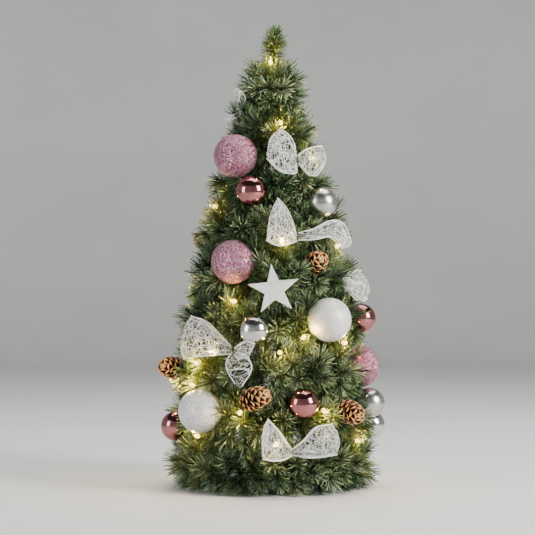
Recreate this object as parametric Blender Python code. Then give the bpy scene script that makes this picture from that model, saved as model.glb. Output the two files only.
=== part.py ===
"""A decorated artificial tabletop tree: needle garland round a wire cone, lit by a battery light string.

Units are metres, +Z is up, the front is -Y, and the origin is the centre of the base ring's underside.
Angles round the tree are in degrees from the front, positive towards +X.
"""

import math

import bmesh
import bpy
from mathutils import Matrix, Vector
from mathutils.geometry import intersect_point_line

# ---------------------------------------------------------------- driving sizes

GAP = 0.0003  # left between pieces that touch

TREE_HEIGHT = 0.650
REACH_BASE = 0.150  # how far the needles of the lowest tiers reach from the axis
REACH_START = 0.100  # height at which the outline begins to close in
REACH_SPAN = TREE_HEIGHT - 0.050  # height over which it would close completely
REACH_POWER = 1.5

TIER_COUNT = 8
TIER_PITCH = 0.1 * TREE_HEIGHT
TIP_REACH = 0.042  # from a garland's core to the needle ends of its tips
GARLAND_RADIUS = 0.023  # the dense part of the brush, measured level
GARLAND_RISE = 0.446 * TIER_PITCH  # and measured upright: the tips fan out further up and down
TIER_FIRST = GARLAND_RISE + 0.005  # height of the lowest garland ring, which stands clear of the floor
TUFT_REACH = 0.012  # how far the tufts stand out of the dense part
TUFT_SPACING = 0.046
CROWN_HEIGHT = TREE_HEIGHT - 0.094
CROWN_RING = 0.0175
CROWN_BRUSH = 0.0125
CROWN_RISE = 0.019

RING_OUTER = 0.098
RING_WIDTH = 0.012
RING_THICK = 0.003
RIB_COUNT = 4
RIB_WIRE = 0.0015  # radius
RIB_CLEAR = 0.0006  # between a rib and the garland outside it
HOOP_WIRE = 0.0015

FERRULE_RADIUS = 0.0072
FERRULE_BOTTOM = TREE_HEIGHT - 0.184
FERRULE_LENGTH = 0.032
FERRULE_SOCKET = 0.012  # depth of the socket that holds the ribs' ends
MAST_WIRE = 0.0015
MAST_FIT = 0.0004
SPRIG_BOTTOM = TREE_HEIGHT - 0.056
SPRIG_RADIUS = 0.016

CELL_RADIUS = 0.00725  # AA cell
CELL_LENGTH = 0.0505
CELL_COUNT = 3
CELL_FIT = 0.0006
SPRING_ROOM = 0.0035
CASE_WALL = 0.002
CASE_TOP = 0.046
BOARD_ROOM = 0.015
COVER_THICK = 0.002
COVER_LIP = 0.0012  # what is left of the wall under the cover's groove
COVER_GROOVE = 0.001  # how deep the groove is cut into the walls
KNOB_LENGTH = 0.004
KNOB_WIDTH = 0.0026
KNOB_TRAVEL = 0.002  # either way from the middle position
KNOB_FLANGE = 0.0012
SCREW_RADIUS = 0.0015
BRACKET_WIDTH = 0.014
BRACKET_THICK = 0.0016

LEAD_RADIUS = 0.0010
LEAD_INSET = 0.005  # the lead lies this far inside the garland's core line
LED_HOLDER = 0.0032
LED_HOLDER_LENGTH = 0.009
LED_LENS_LENGTH = 0.007
LED_INSET = 0.012  # an LED's end stays this far inside the needle ends
LED_CLIMB = 0.020  # the most that a stalk may rise or fall from its lead
CROSSING_ANGLE = 168.0  # where the lead climbs from valley to valley
CROSSING_HALF = 13.0
LEAD_STEP = 42.0

LARGE_BALL = 0.030
SMALL_BALL = 0.021
CAP_RADIUS = 0.0055
CAP_LENGTH = 0.0055
CONE_LENGTH = 0.042
CONE_RADIUS = 0.0185
STAR_RADIUS = 0.037
STAR_WAIST = 0.382  # inner radius as a share of the outer, as in a pentagram
STAR_THICK = 0.004
STAR_LEAN = 14.0
STAR_TURN = -6.5
STAR_HOLE = 0.0016
STAR_HOLE_UP = 0.0105  # above the star's centre
STAR_PIN = 0.0011
STAR_OUT = 0.010  # the star's centre is this far outside the needle ends
STAR_DROP = 0.015  # and this far below the ring that it is tied to
STAR_TIER = 4
STAR_TIE_LENGTH = TIP_REACH + STAR_OUT - 0.4 * GARLAND_RADIUS
BOW_THICK = 0.006
BOW_KNOT = 0.010
BOW_KNOT_OUT = -0.009  # the knot is drawn this far into the needles
BOW_END_OUT = 0.002
BOW_TIE = 0.0011  # radius of the wire that ties the knot to the garland
POCKET = 0.0004  # foliage stands this far clear of what nestles in it

# Heights in these lists are those on a tree 0.65 m tall, and are stretched with the tree.
STRETCH = TREE_HEIGHT / 0.650

# Balls: name, angle, height, how far the centre is outside the needle ends.
LARGE_BALLS = (
    ("ball_large_1", -39.0, 0.4625, 0.001),
    ("ball_large_2", -30.0, 0.3165, -0.011),
    ("ball_large_3", 39.0, 0.2375, -0.010),
    ("ball_large_4", -45.5, 0.1135, -0.012),
    ("ball_large_5", 84.0, 0.1700, -0.021),
    ("ball_large_6", 163.0, 0.1450, -0.012),
)
SMALL_BALLS = (
    ("ball_small_1", -18.5, 0.4130, -0.004),
    ("ball_small_2", 54.0, 0.3985, -0.012),
    ("ball_small_3", -11.0, 0.2240, -0.010),
    ("ball_small_4", 88.0, 0.2370, -0.008),
    ("ball_small_5", 17.5, 0.1255, -0.010),
    ("ball_small_6", -84.0, 0.0860, -0.014),
    ("ball_small_7", 79.0, 0.1195, -0.010),
    ("ball_small_8", 98.0, 0.0850, -0.009),
    ("ball_small_9", -150.0, 0.2750, -0.008),
)
# Pine cones: name, angle, height, offset, then the tip's turn and rise from straight outwards.
PINE_CONES = (
    ("pine_cone_1", -82.0, 0.1680, -0.004, 50.0, 5.0),
    ("pine_cone_2", -10.5, 0.1330, -0.013, 55.0, 12.0),
    ("pine_cone_3", 40.0, 0.3140, -0.026, -20.0, 5.0),
    ("pine_cone_4", 49.5, 0.1105, -0.009, -25.0, -8.0),
    ("pine_cone_5", -118.0, 0.3450, -0.010, 0.0, 0.0),
)
# Bows: name, the knot's angle and height, then for each loop its direction in the surface, length and width.
BOWS = (
    ("bow_1", 30.0, 0.4590, (172.0, 0.046, 0.052), (-2.0, 0.030, 0.040)),
    ("bow_2", 20.0, 0.3500, (150.0, 0.050, 0.046), (8.0, 0.062, 0.026)),
    ("bow_3", 66.0, 0.2860, (-8.0, 0.040, 0.044), (170.0, 0.022, 0.022)),
    ("bow_4", -24.5, 0.1990, (158.0, 0.060, 0.048), (-72.0, 0.046, 0.030)),
    ("bow_5", 11.0, 0.0620, (150.0, 0.046, 0.046), (24.0, 0.054, 0.042)),
    ("bow_6", -80.0, 0.5300, (66.0, 0.030, 0.026), (-110.0, 0.028, 0.026)),
)
STAR_PLACE = (1.0, TIER_FIRST + TIER_PITCH * STAR_TIER - STAR_DROP, STAR_OUT)
# LEDs: angle and height wanted. Each one slides round until it stands clear of the decorations.
LED_PLACES = (
    (-48.0, 0.080), (2.0, 0.072), (62.0, 0.070), (118.0, 0.066), (-110.0, 0.070),
    (-150.0, 0.130), (-90.0, 0.145), (-57.0, 0.149), (-17.0, 0.1115), (31.5, 0.113), (112.0, 0.140),
    (-140.0, 0.200), (-53.0, 0.1766), (-38.0, 0.194), (4.8, 0.194), (54.0, 0.206), (135.0, 0.198),
    (-100.0, 0.270), (-27.5, 0.263), (20.5, 0.2170), (110.0, 0.262),
    (-120.0, 0.335), (8.5, 0.344), (72.0, 0.340), (150.0, 0.330),
    (-75.0, 0.395), (120.0, 0.395),
    (-130.0, 0.458), (60.0, 0.462),
    (13.5, 0.508),
)  # fmt: skip
CROWN_LED = (-7.0, SPRIG_BOTTOM + 0.0045)

# ---------------------------------------------------------------- sizes that follow


def reach(height):
    """How far the needle ends stand from the axis at this height."""
    share = max(0.0, (height - REACH_START) / REACH_SPAN)
    return REACH_BASE * (1.0 - share**REACH_POWER)


def core_radius(height):
    """Radius of the garland's core line at this height."""
    return reach(height) - TIP_REACH


def tier_height(index):
    return TIER_FIRST + TIER_PITCH * index


def brush_radius(index):
    """The dense part's radius, less in the top ring so that it fits round the ferrule."""
    return min(GARLAND_RADIUS, core_radius(tier_height(index)) - FERRULE_RADIUS - 2 * GAP)


def rib_radius(height):
    return core_radius(height) - GARLAND_RADIUS - RIB_CLEAR - RIB_WIRE


def around(angle, radius, height):
    """A point from its angle round the tree, its distance from the axis and its height."""
    turn = math.radians(angle)
    return Vector((radius * math.sin(turn), -radius * math.cos(turn), height))


def surface_frame(angle, height, outside=0.0):
    """Matrix at a point of the needle outline: x to the right, y up along the foliage, z outwards."""
    step = 0.001
    slope = math.atan2(reach(height) - reach(height + step), step)
    turn = math.radians(angle)
    radial = Vector((math.sin(turn), -math.cos(turn), 0.0))
    right = Vector((math.cos(turn), math.sin(turn), 0.0))
    outwards = radial * math.cos(slope) + Vector((0.0, 0.0, math.sin(slope)))
    up = outwards.cross(right)
    place = around(angle, reach(height) + outside, height)
    axes = Matrix((right, up, outwards)).transposed()
    return Matrix.Translation(place) @ axes.to_4x4()


CASE_BAY_X = CELL_LENGTH + 2 * SPRING_ROOM
CASE_BAY_Y = CELL_COUNT * (2 * CELL_RADIUS + CELL_FIT)
CASE_X = CASE_BAY_X + 2 * CASE_WALL
CASE_Y = CASE_BAY_Y + BOARD_ROOM + 3 * CASE_WALL
GROOVE_HEIGHT = COVER_THICK + 2 * GAP
CASE_Z = 2 * (CELL_RADIUS + CELL_FIT) + CASE_WALL + COVER_LIP + GROOVE_HEIGHT
CASE_BOTTOM = CASE_TOP - CASE_Z
CASE_FRONT = -CASE_Y / 2
BAY_FRONT = CASE_FRONT + CASE_WALL
BAY_BACK = BAY_FRONT + CASE_BAY_Y
CELL_AXIS = CASE_TOP - CASE_WALL - CELL_RADIUS - CELL_FIT
GROOVE_LOW = CASE_BOTTOM + COVER_LIP
KNOB_Y = BAY_BACK + CASE_WALL + BOARD_ROOM / 2
GLAND_X = 0.0168
RIB_FIRST_ANGLE = 45.0

# ---------------------------------------------------------------- modelling helpers


def clear_scene():
    for old in list(bpy.data.objects):
        bpy.data.objects.remove(old, do_unlink=True)


def material(name, colour, roughness, metallic=0.0):
    made = bpy.data.materials.new(name)
    made.use_nodes = True
    shader = made.node_tree.nodes["Principled BSDF"]
    shader.inputs["Base Color"].default_value = (*colour, 1.0)
    shader.inputs["Roughness"].default_value = roughness
    shader.inputs["Metallic"].default_value = metallic
    return made


def add_object(name, mesh, finish=None):
    made = bpy.data.objects.new(name, mesh)
    bpy.context.scene.collection.objects.link(made)
    if finish is not None:
        mesh.materials.append(finish)
    return made


def finish_mesh(name, shape, finish=None, smooth=False):
    """The object made from a bmesh, with its normals facing out."""
    bmesh.ops.recalc_face_normals(shape, faces=shape.faces)
    mesh = bpy.data.meshes.new(name)
    shape.to_mesh(mesh)
    shape.free()
    if smooth:
        mesh.shade_smooth()
        mesh.set_sharp_from_angle(angle=math.radians(40))
    return add_object(name, mesh, finish)


def turned_shape(profile, sides):
    """A bmesh turned round Z from (radius, height) points that start and end on the axis, or that close."""
    shape = bmesh.new()
    corners = [shape.verts.new((radius, 0.0, height)) for radius, height in profile]
    edges = [shape.edges.new(pair) for pair in zip(corners, corners[1:])]
    if profile[0][0] > 0 and profile[0] != profile[-1]:
        edges.append(shape.edges.new((corners[-1], corners[0])))
    bmesh.ops.spin(
        shape,
        geom=corners + edges,
        axis=(0, 0, 1),
        cent=(0, 0, 0),
        angle=2 * math.pi,
        steps=sides,
        use_merge=True,
    )
    bmesh.ops.remove_doubles(shape, verts=shape.verts, dist=1e-6)
    return shape


def turned(name, profile, sides, finish=None, place=None, smooth=True):
    made = finish_mesh(name, turned_shape(profile, sides), finish, smooth)
    if place is not None:
        made.matrix_world = place
    return made


def block(shape, low, high):
    """Adds a box between two corners to a bmesh."""
    low, high = Vector(low), Vector(high)
    size = Matrix.Diagonal((*(high - low), 1.0))
    return bmesh.ops.create_cube(shape, size=1.0, matrix=Matrix.Translation((low + high) / 2) @ size)["verts"]


def box(name, low, high, finish=None):
    shape = bmesh.new()
    block(shape, low, high)
    return finish_mesh(name, shape, finish)


def rod(name, radius, length, sides, finish=None, place=None):
    return turned(name, [(0, 0), (radius, 0), (radius, length), (0, length)], sides, finish, place)


def wire(name, points, radius, resolution, finish=None, closed=False):
    """A round wire along a list of points."""
    curve = bpy.data.curves.new(name, "CURVE")
    curve.dimensions = "3D"
    curve.bevel_depth = radius
    curve.bevel_resolution = resolution
    curve.use_fill_caps = not closed
    line = curve.splines.new("POLY")
    line.points.add(len(points) - 1)
    for point, place in zip(line.points, points):
        point.co = (*place, 1.0)
    line.use_cyclic_u = closed
    return add_object(name, curve, finish)


def as_mesh(source):
    """Replaces a curve object by the mesh that it shows."""
    bpy.context.view_layer.update()
    evaluated = source.evaluated_get(bpy.context.evaluated_depsgraph_get())
    mesh = bpy.data.meshes.new_from_object(evaluated)
    name, finishes = source.name, [slot for slot in source.data.materials]
    bpy.data.objects.remove(source, do_unlink=True)
    mesh.materials.clear()
    mesh.name = name
    shape = bmesh.new()
    shape.from_mesh(mesh)
    bmesh.ops.remove_doubles(shape, verts=shape.verts, dist=1e-7)
    shape.to_mesh(mesh)
    shape.free()
    return add_object(name, mesh, finishes[0] if finishes else None)


def combine(target, tool, operation):
    """A Boolean of target with a hidden tool object."""
    tool.hide_render = True
    tool.display_type = "WIRE"
    cut = target.modifiers.new(f"{operation.lower()} {tool.name}", "BOOLEAN")
    cut.operation = operation
    cut.solver = "EXACT"
    cut.use_self = operation == "UNION"
    cut.object = tool


def keep_largest(source):
    """The mesh that an object shows, less any crumb that its cuts have set free."""
    made = as_mesh(source)
    shape = bmesh.new()
    shape.from_mesh(made.data)
    left = set(shape.verts)
    bodies = []
    while left:
        front = [left.pop()]
        body = []
        while front:
            corner = front.pop()
            body.append(corner)
            near = {link.other_vert(corner) for link in corner.link_edges} & left
            left -= near
            front.extend(near)
        bodies.append(body)
    bodies.sort(key=len)
    crumbs = [corner for crumb in bodies[:-1] for corner in crumb]
    bmesh.ops.delete(shape, geom=crumbs, context="VERTS")
    shape.to_mesh(made.data)
    shape.free()
    return made


def set_origin(target, place):
    """Moves an object's origin to a place, and leaves its shape where it is."""
    target.data.transform(Matrix.Translation(-Vector(place)))
    target.location = place


def turn_to(direction, place):
    """Matrix that stands local Z along a direction at a place."""
    return Matrix.Translation(place) @ Vector(direction).to_track_quat("Z", "Y").to_matrix().to_4x4()


# ---------------------------------------------------------------- where the decorations go


class Place:
    """One decoration: its name, its place on the foliage and the spheres that bound it."""

    def __init__(self, name, angle, height, outside, radius, fixed=False):
        self.name = name
        self.angle = angle
        self.height = height
        self.outside = outside
        self.radius = radius
        self.fixed = fixed

    def centre(self):
        return around(self.angle, reach(self.height) + self.outside, self.height)

    def push(self, by):
        """Slides the decoration over the foliage by a vector."""
        moved = self.centre() + by
        self.angle = math.degrees(math.atan2(moved.x, -moved.y))
        self.height = moved.z


def loop_spine(bow, loop, share):
    """A point along a bow's loop, lying on the foliage, at a share of its length."""
    _, angle, height = bow[:3]
    direction, length, _ = loop
    run = length * share * math.cos(math.radians(direction))
    rise = length * share * math.sin(math.radians(direction))
    there = height * STRETCH + rise
    outside = BOW_END_OUT * share + BOW_KNOT_OUT * (1 - share)
    return around(angle + math.degrees(run / reach(there)), reach(there) + outside, there)


def bow_guards():
    """Fixed spheres along every bow's loops, which other decorations keep off."""
    guards = []
    for bow in BOWS:
        for loop in bow[3:]:
            for share in (0.0, 0.45, 0.9):
                spot = loop_spine(bow, loop, share)
                angle = math.degrees(math.atan2(spot.x, -spot.y))
                size = BOW_KNOT / 2 + share * loop[2] * 0.28
                guards.append(Place(bow[0], angle, spot.z, 0.004, size, fixed=True))
    return guards


def settle(places):
    """Moves decorations that would touch apart, in turns, until all of them keep a gap."""
    for _ in range(200):
        moved = False
        for index, first in enumerate(places):
            for second in places[index + 1 :]:
                if first.fixed and second.fixed:
                    continue
                between = second.centre() - first.centre()
                short = first.radius + second.radius + 0.0006 - between.length
                if short <= 0:
                    continue
                step = between.normalized() * (short + 0.0002)
                if first.fixed:
                    second.push(step)
                elif second.fixed:
                    first.push(-step)
                else:
                    first.push(-step / 2)
                    second.push(step / 2)
                moved = True
        if not moved:
            break
    return places


def decoration_places():
    """Every decoration in its place, with none that touch."""
    places = []
    for items, radius in ((LARGE_BALLS, LARGE_BALL), (SMALL_BALLS, SMALL_BALL), (PINE_CONES, CONE_LENGTH / 2)):
        for name, angle, height, outside, *_ in items:
            places.append(Place(name, angle, height * STRETCH, outside, radius))
    places.append(Place("star", *STAR_PLACE, STAR_RADIUS * 0.62, fixed=True))
    return settle(places + bow_guards())


# ---------------------------------------------------------------- frame


def make_base_ring(steel):
    inner = RING_OUTER - RING_WIDTH
    profile = [(inner, 0), (RING_OUTER, 0), (RING_OUTER, RING_THICK), (inner, RING_THICK)]
    turned("base_ring", profile, 36, steel, smooth=True)


def rib_line(angle):
    """A rib's points: up the bowed cone, then drawn in to stand in the ferrule."""
    bend_from = tier_height(TIER_COUNT - 2)
    bend_to = FERRULE_BOTTOM - 0.003
    in_ferrule = FERRULE_RADIUS - 0.0013 - RIB_WIRE - GAP
    foot = RING_THICK + GAP
    foot_radius = RING_OUTER - RING_WIDTH / 2
    settle_by = TIER_FIRST - GARLAND_RADIUS / 2
    points = [around(angle, foot_radius, foot), around(angle, foot_radius, foot + 0.004)]
    steps = 9
    for step in range(steps + 1):
        height = settle_by + (bend_from - settle_by) * step / steps
        points.append(around(angle, rib_radius(height), height))
    start = rib_radius(bend_from)
    for step in range(1, 5):
        share = step / 4
        ease = share * share * (3 - 2 * share)
        height = bend_from + (bend_to - bend_from) * share
        points.append(around(angle, start + (in_ferrule - start) * ease, height))
    points.append(around(angle, in_ferrule, FERRULE_BOTTOM + FERRULE_SOCKET - GAP))
    return points


def make_frame(steel):
    make_base_ring(steel)
    for index in range(RIB_COUNT):
        angle = RIB_FIRST_ANGLE + 360 / RIB_COUNT * index
        wire(f"frame_rib_{index + 1}", rib_line(angle), RIB_WIRE, 1, steel)
    hoop_height = CASE_TOP - HOOP_WIRE
    hoop = rib_radius(hoop_height) - RIB_WIRE - HOOP_WIRE - 2 * GAP
    circle = [around(step * 15, hoop, hoop_height) for step in range(24)]
    wire("lower_hoop", circle, HOOP_WIRE, 1, steel, closed=True)
    bracket_low = CASE_TOP + GAP
    bracket = box(
        "box_bracket",
        (-BRACKET_WIDTH / 2, -hoop - HOOP_WIRE, bracket_low),
        (BRACKET_WIDTH / 2, hoop + HOOP_WIRE, bracket_low + BRACKET_THICK),
        steel,
    )
    holes = bmesh.new()
    for side in (-1, 1):
        bmesh.ops.create_cone(
            holes,
            segments=10,
            cap_ends=True,
            radius1=SCREW_RADIUS + GAP,
            radius2=SCREW_RADIUS + GAP,
            depth=0.01,
            matrix=Matrix.Translation((0, side * CASE_Y / 4, bracket_low)),
        )
    combine(bracket, finish_mesh("bracket_holes", holes), "DIFFERENCE")
    make_ferrule(steel)


def make_ferrule(steel):
    """The turned cap that grips the ribs' ends below and the mast above."""
    top = FERRULE_BOTTOM + FERRULE_LENGTH
    floor = FERRULE_BOTTOM + FERRULE_SOCKET
    socket = FERRULE_RADIUS - 0.0013
    bore = MAST_WIRE + MAST_FIT
    profile = [
        (socket, FERRULE_BOTTOM),
        (FERRULE_RADIUS, FERRULE_BOTTOM),
        (FERRULE_RADIUS, top - 0.001),
        (FERRULE_RADIUS - 0.001, top),
        (bore, top),
        (bore, floor),
        (socket, floor),
    ]
    turned("crown_ferrule", profile, 12, steel)


# ---------------------------------------------------------------- foliage


def tufted_ring(ring, brush, rise, height):
    """A ring of brush, of the given half-width and half-height, with tufts standing out of it, as a bmesh."""
    tufts = max(7, round(2 * math.pi * (ring + brush) / TUFT_SPACING))
    shape = bmesh.new()
    section = bmesh.ops.create_circle(
        shape,
        segments=8,
        radius=brush,
        matrix=Matrix.Translation((ring, 0, height))
        @ Matrix.Diagonal((1, 1, rise / brush, 1))
        @ Matrix.Rotation(math.pi / 2, 4, "X"),
    )["verts"]
    edges = list({edge for corner in section for edge in corner.link_edges})
    bmesh.ops.spin(
        shape,
        geom=section + edges,
        axis=(0, 0, 1),
        cent=(0, 0, 0),
        angle=2 * math.pi,
        steps=2 * tufts,
        use_merge=True,
    )
    bmesh.ops.remove_doubles(shape, verts=shape.verts, dist=1e-6)
    for corner in shape.verts:
        place = corner.co.xy.length
        step = round(math.degrees(math.atan2(corner.co.y, corner.co.x)) / 360 * 2 * tufts)
        outward = (place - ring) / brush
        if step % 2 or outward < 0.1:
            continue
        grown = (place + TUFT_REACH * outward) / place
        corner.co.x *= grown
        corner.co.y *= grown
    bmesh.ops.triangulate(shape, faces=shape.faces)
    return shape


def make_tiers(foliage):
    tiers = []
    for index in range(TIER_COUNT):
        height = tier_height(index)
        ring = core_radius(height)
        shape = tufted_ring(ring, brush_radius(index), GARLAND_RISE, height)
        tiers.append(finish_mesh(f"garland_tier_{index + 1}", shape, foliage))
    shape = tufted_ring(CROWN_RING, CROWN_BRUSH, CROWN_RISE, CROWN_HEIGHT)
    tiers.append(finish_mesh("crown_spray", shape, foliage))
    return tiers


def make_sprig(foliage):
    """The upright tip: a brush on the mast whose foot stands in the ferrule."""
    foot = FERRULE_BOTTOM + FERRULE_SOCKET + 0.001
    profile = [
        (0, foot),
        (MAST_WIRE, foot),
        (MAST_WIRE, SPRIG_BOTTOM),
        (SPRIG_RADIUS * 0.75, SPRIG_BOTTOM + 0.006),
        (SPRIG_RADIUS, SPRIG_BOTTOM + 0.026),
        (SPRIG_RADIUS * 0.8, TREE_HEIGHT - 0.006),
        (0, TREE_HEIGHT),
    ]
    turned("top_sprig", profile, 10, foliage)


# ---------------------------------------------------------------- decorations


def ball_profile(radius, grow=0.0):
    """A ball whose cap is at its lower end, on local Z."""
    steps = 7
    neck = math.asin(CAP_RADIUS / radius)
    points = [(0, -radius - CAP_LENGTH - grow), (CAP_RADIUS + grow, -radius - CAP_LENGTH - grow)]
    for step in range(steps):
        turn = neck + (math.pi - neck) * step / steps
        points.append(((radius + grow) * math.sin(turn), -(radius + grow) * math.cos(turn)))
    points.append((0, radius + grow))
    return points


def cone_profile(grow=0.0):
    """A pine cone along local Z, its stem end at the bottom, with a step at each row of scales."""
    rows = 5
    points = [(0, -CONE_LENGTH / 2 - grow)]
    for row in range(rows):
        low = row / rows
        high = (row + 0.62) / rows
        for share, width in ((low, 0.74), (high, 1.0)):
            bulge = math.sin(math.pi * (0.16 + 0.80 * share)) ** 0.8
            size = CONE_RADIUS * bulge * (1.0 if grow else width)
            points.append((size + grow, CONE_LENGTH * (share - 0.5)))
    points.append((0, CONE_LENGTH / 2 + grow))
    return points


def bow_shape(bow, grow=0.0):
    """Two loops lofted through the knot, as a bmesh of four-cornered sections."""
    _, angle, height, left, right = bow
    sections = []
    for loop, shares in ((left, (1.0, 0.55, 0.2)), (None, (0.0,)), (right, (0.2, 0.55, 1.0))):
        for share in shares:
            source = loop or left
            centre = loop_spine(bow, source, share)
            width = BOW_KNOT + (source[2] - BOW_KNOT) * min(1.0, share * 1.15)
            puff = BOW_THICK + 0.006 * math.sin(math.pi * min(1.0, share + 0.25))
            sections.append((centre, width + 2 * grow, puff + 2 * grow))
    shape = bmesh.new()
    rings = []
    for index, (centre, width, thick) in enumerate(sections):
        before = sections[max(index - 1, 0)][0]
        after = sections[min(index + 1, len(sections) - 1)][0]
        along = (after - before).normalized()
        outwards = Vector((centre.x, centre.y, 0)).normalized()
        across = along.cross(outwards).normalized()
        outwards = across.cross(along)
        stretch = along * grow * (-1 if index == 0 else 1 if index == len(sections) - 1 else 0)
        corners = [
            shape.verts.new(centre + stretch + across * width / 2 * a + outwards * thick / 2 * b)
            for a, b in ((-1, -1), (1, -1), (1, 1), (-1, 1))
        ]
        rings.append([shape.edges.new((corners[i], corners[(i + 1) % 4])) for i in range(4)])
    for first, second in zip(rings, rings[1:]):
        bmesh.ops.bridge_loops(shape, edges=first + second)
    for end in (rings[0], rings[-1]):
        bmesh.ops.contextual_create(shape, geom=end)
    return shape


def bow_tie(bow, name, grow=0.0):
    """The twisted wire from a bow's knot to the garland that it is tied to."""
    knot = loop_spine(bow, bow[3], 0.0)
    nearest = min(range(TIER_COUNT), key=lambda index: abs(tier_height(index) - knot.z))
    level = tier_height(nearest)
    core = around(bow[1], core_radius(level), level)
    length = (core - knot).length - 0.5 * brush_radius(nearest) + grow
    return rod(name, BOW_TIE + grow, length, 6, place=turn_to(core - knot, knot))


def star_matrix():
    """The star's frame: its origin at the hole that it swivels on, z out of its face."""
    angle, height, outside = STAR_PLACE
    lean = Matrix.Rotation(math.radians(-90 - STAR_LEAN), 4, "X").inverted()
    face = Matrix.Rotation(math.radians(angle), 4, "Z") @ lean
    turn = Matrix.Rotation(math.radians(-STAR_TURN), 4, "Z")
    centre = Matrix.Translation(around(angle, reach(height) + outside, height))
    return centre @ face @ turn @ Matrix.Translation((0, STAR_HOLE_UP, 0))


def star_shape(grow=0.0):
    """A flat five-pointed star below its hole, as a bmesh."""
    shape = bmesh.new()
    corners = []
    for point in range(10):
        radius = STAR_RADIUS * (1.0 if point % 2 == 0 else STAR_WAIST) + grow
        turn = math.pi / 2 + math.pi / 5 * point
        across, up = radius * math.cos(turn), radius * math.sin(turn) - STAR_HOLE_UP
        corners.append(shape.verts.new((across, up, -STAR_THICK / 2 - grow)))
    face = shape.faces.new(corners)
    raised = bmesh.ops.extrude_face_region(shape, geom=[face])["geom"]
    top = [item for item in raised if isinstance(item, bmesh.types.BMVert)]
    bmesh.ops.translate(shape, verts=top, vec=(0, 0, STAR_THICK + 2 * grow))
    return shape


def make_star(wood, steel):
    place = star_matrix()
    star = finish_mesh("star", star_shape(), wood)
    star.matrix_world = place
    drill = bmesh.new()
    bmesh.ops.create_cone(
        drill,
        segments=12,
        cap_ends=True,
        radius1=STAR_HOLE,
        radius2=STAR_HOLE,
        depth=3 * STAR_THICK,
        matrix=place,
    )
    combine(star, finish_mesh("star_hole", drill), "DIFFERENCE")
    head = STAR_THICK / 2 + 0.0006
    back = -STAR_THICK / 2 - 0.0006
    profile = [
        (0, back - STAR_TIE_LENGTH),
        (STAR_PIN, back - STAR_TIE_LENGTH),
        (STAR_PIN, head),
        (2.2 * STAR_PIN, head),
        (1.6 * STAR_PIN, head + 0.0012),
        (0, head + 0.0015),
    ]
    turned("star_tie", profile, 8, steel, place)
    pocket = finish_mesh("pocket_star", star_shape(grow=POCKET))
    pocket.matrix_world = place
    back = Matrix.Translation((0, 0, -STAR_TIE_LENGTH - STAR_THICK))
    tie = rod("pocket_tie", STAR_PIN + POCKET, STAR_TIE_LENGTH + STAR_THICK, 8, place=place @ back)
    return [(pocket, place.translation, STAR_RADIUS), (tie, place.translation, STAR_RADIUS)]


def ball_matrix(place):
    """The ball's local +Z points out of the tree, so its cap faces the foliage."""
    centre = place.centre()
    return turn_to((centre.x, centre.y, 0.0), centre)


def cone_matrix(place, turn, rise):
    frame = surface_frame(place.angle, place.height, place.outside)
    aim = Matrix.Rotation(math.radians(turn), 4, "Y") @ Matrix.Rotation(math.radians(-rise), 4, "X")
    return frame @ aim


def make_decorations(finishes):
    """Makes every decoration and returns a pocket cutter for each, with its centre and reach."""
    places = {place.name: place for place in decoration_places() if not place.name.startswith("bow")}
    pockets = []
    for balls, radius, sides in ((LARGE_BALLS, LARGE_BALL, 12), (SMALL_BALLS, SMALL_BALL, 10)):
        for index, (name, *_rest) in enumerate(balls):
            matrix = ball_matrix(places[name])
            turned(name, ball_profile(radius), sides, finishes[name], matrix)
            cutter = turned(f"pocket_{name}", ball_profile(radius, POCKET), sides, place=matrix)
            pockets.append((cutter, matrix.translation, radius + CAP_LENGTH))
    for name, _angle, _height, _outside, turn, rise in PINE_CONES:
        matrix = cone_matrix(places[name], turn, rise)
        turned(name, cone_profile(), 10, finishes["cone"], matrix, smooth=False)
        cutter = turned(f"pocket_{name}", cone_profile(2 * POCKET), 10, place=matrix)
        pockets.append((cutter, matrix.translation, CONE_LENGTH / 2))
    for bow in BOWS:
        made = finish_mesh(bow[0], bow_shape(bow), finishes["ribbon"])
        combine(made, bow_tie(bow, f"{bow[0]}_tie"), "UNION")
        cutter = finish_mesh(f"pocket_{bow[0]}", bow_shape(bow, POCKET))
        tie_cutter = bow_tie(bow, f"pocket_tie_{bow[0]}", POCKET)
        pockets.append((tie_cutter, loop_spine(bow, bow[3], 0.0), 0.035))
        for loop in bow[3:]:
            pockets.append((cutter, loop_spine(bow, loop, 0.6), max(loop[1], loop[2]) * 0.75))
    pockets += make_star(finishes["wood"], finishes["steel"])
    return places, pockets


def cut_pockets(tiers, pockets):
    """Cuts a pocket into each ring of foliage for every decoration that nestles in it."""
    for index, tier in enumerate(tiers):
        crown = index == TIER_COUNT
        height = CROWN_HEIGHT if crown else tier_height(index)
        ring = CROWN_RING if crown else core_radius(height)
        brush = (CROWN_BRUSH if crown else brush_radius(index)) + TUFT_REACH
        used = set()
        for cutter, centre, size in pockets:
            off = math.hypot(centre.xy.length - ring, 0.8 * (centre.z - height))
            if off < brush + size + 0.006 and cutter.name not in used:
                used.add(cutter.name)
                combine(tier, cutter, "DIFFERENCE")
    for tier in tiers:
        keep_largest(tier)
    for cutter in {cutter for cutter, _, _ in pockets}:
        bpy.data.objects.remove(cutter, do_unlink=True)


# ---------------------------------------------------------------- light string


def valley_height(index):
    return tier_height(index) + TIER_PITCH / 2


def lead_radius(height):
    """How far from the axis the lead runs where it lies between two rings of garland."""
    return max(core_radius(height) - LEAD_INSET, FERRULE_RADIUS + 0.004)


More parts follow.
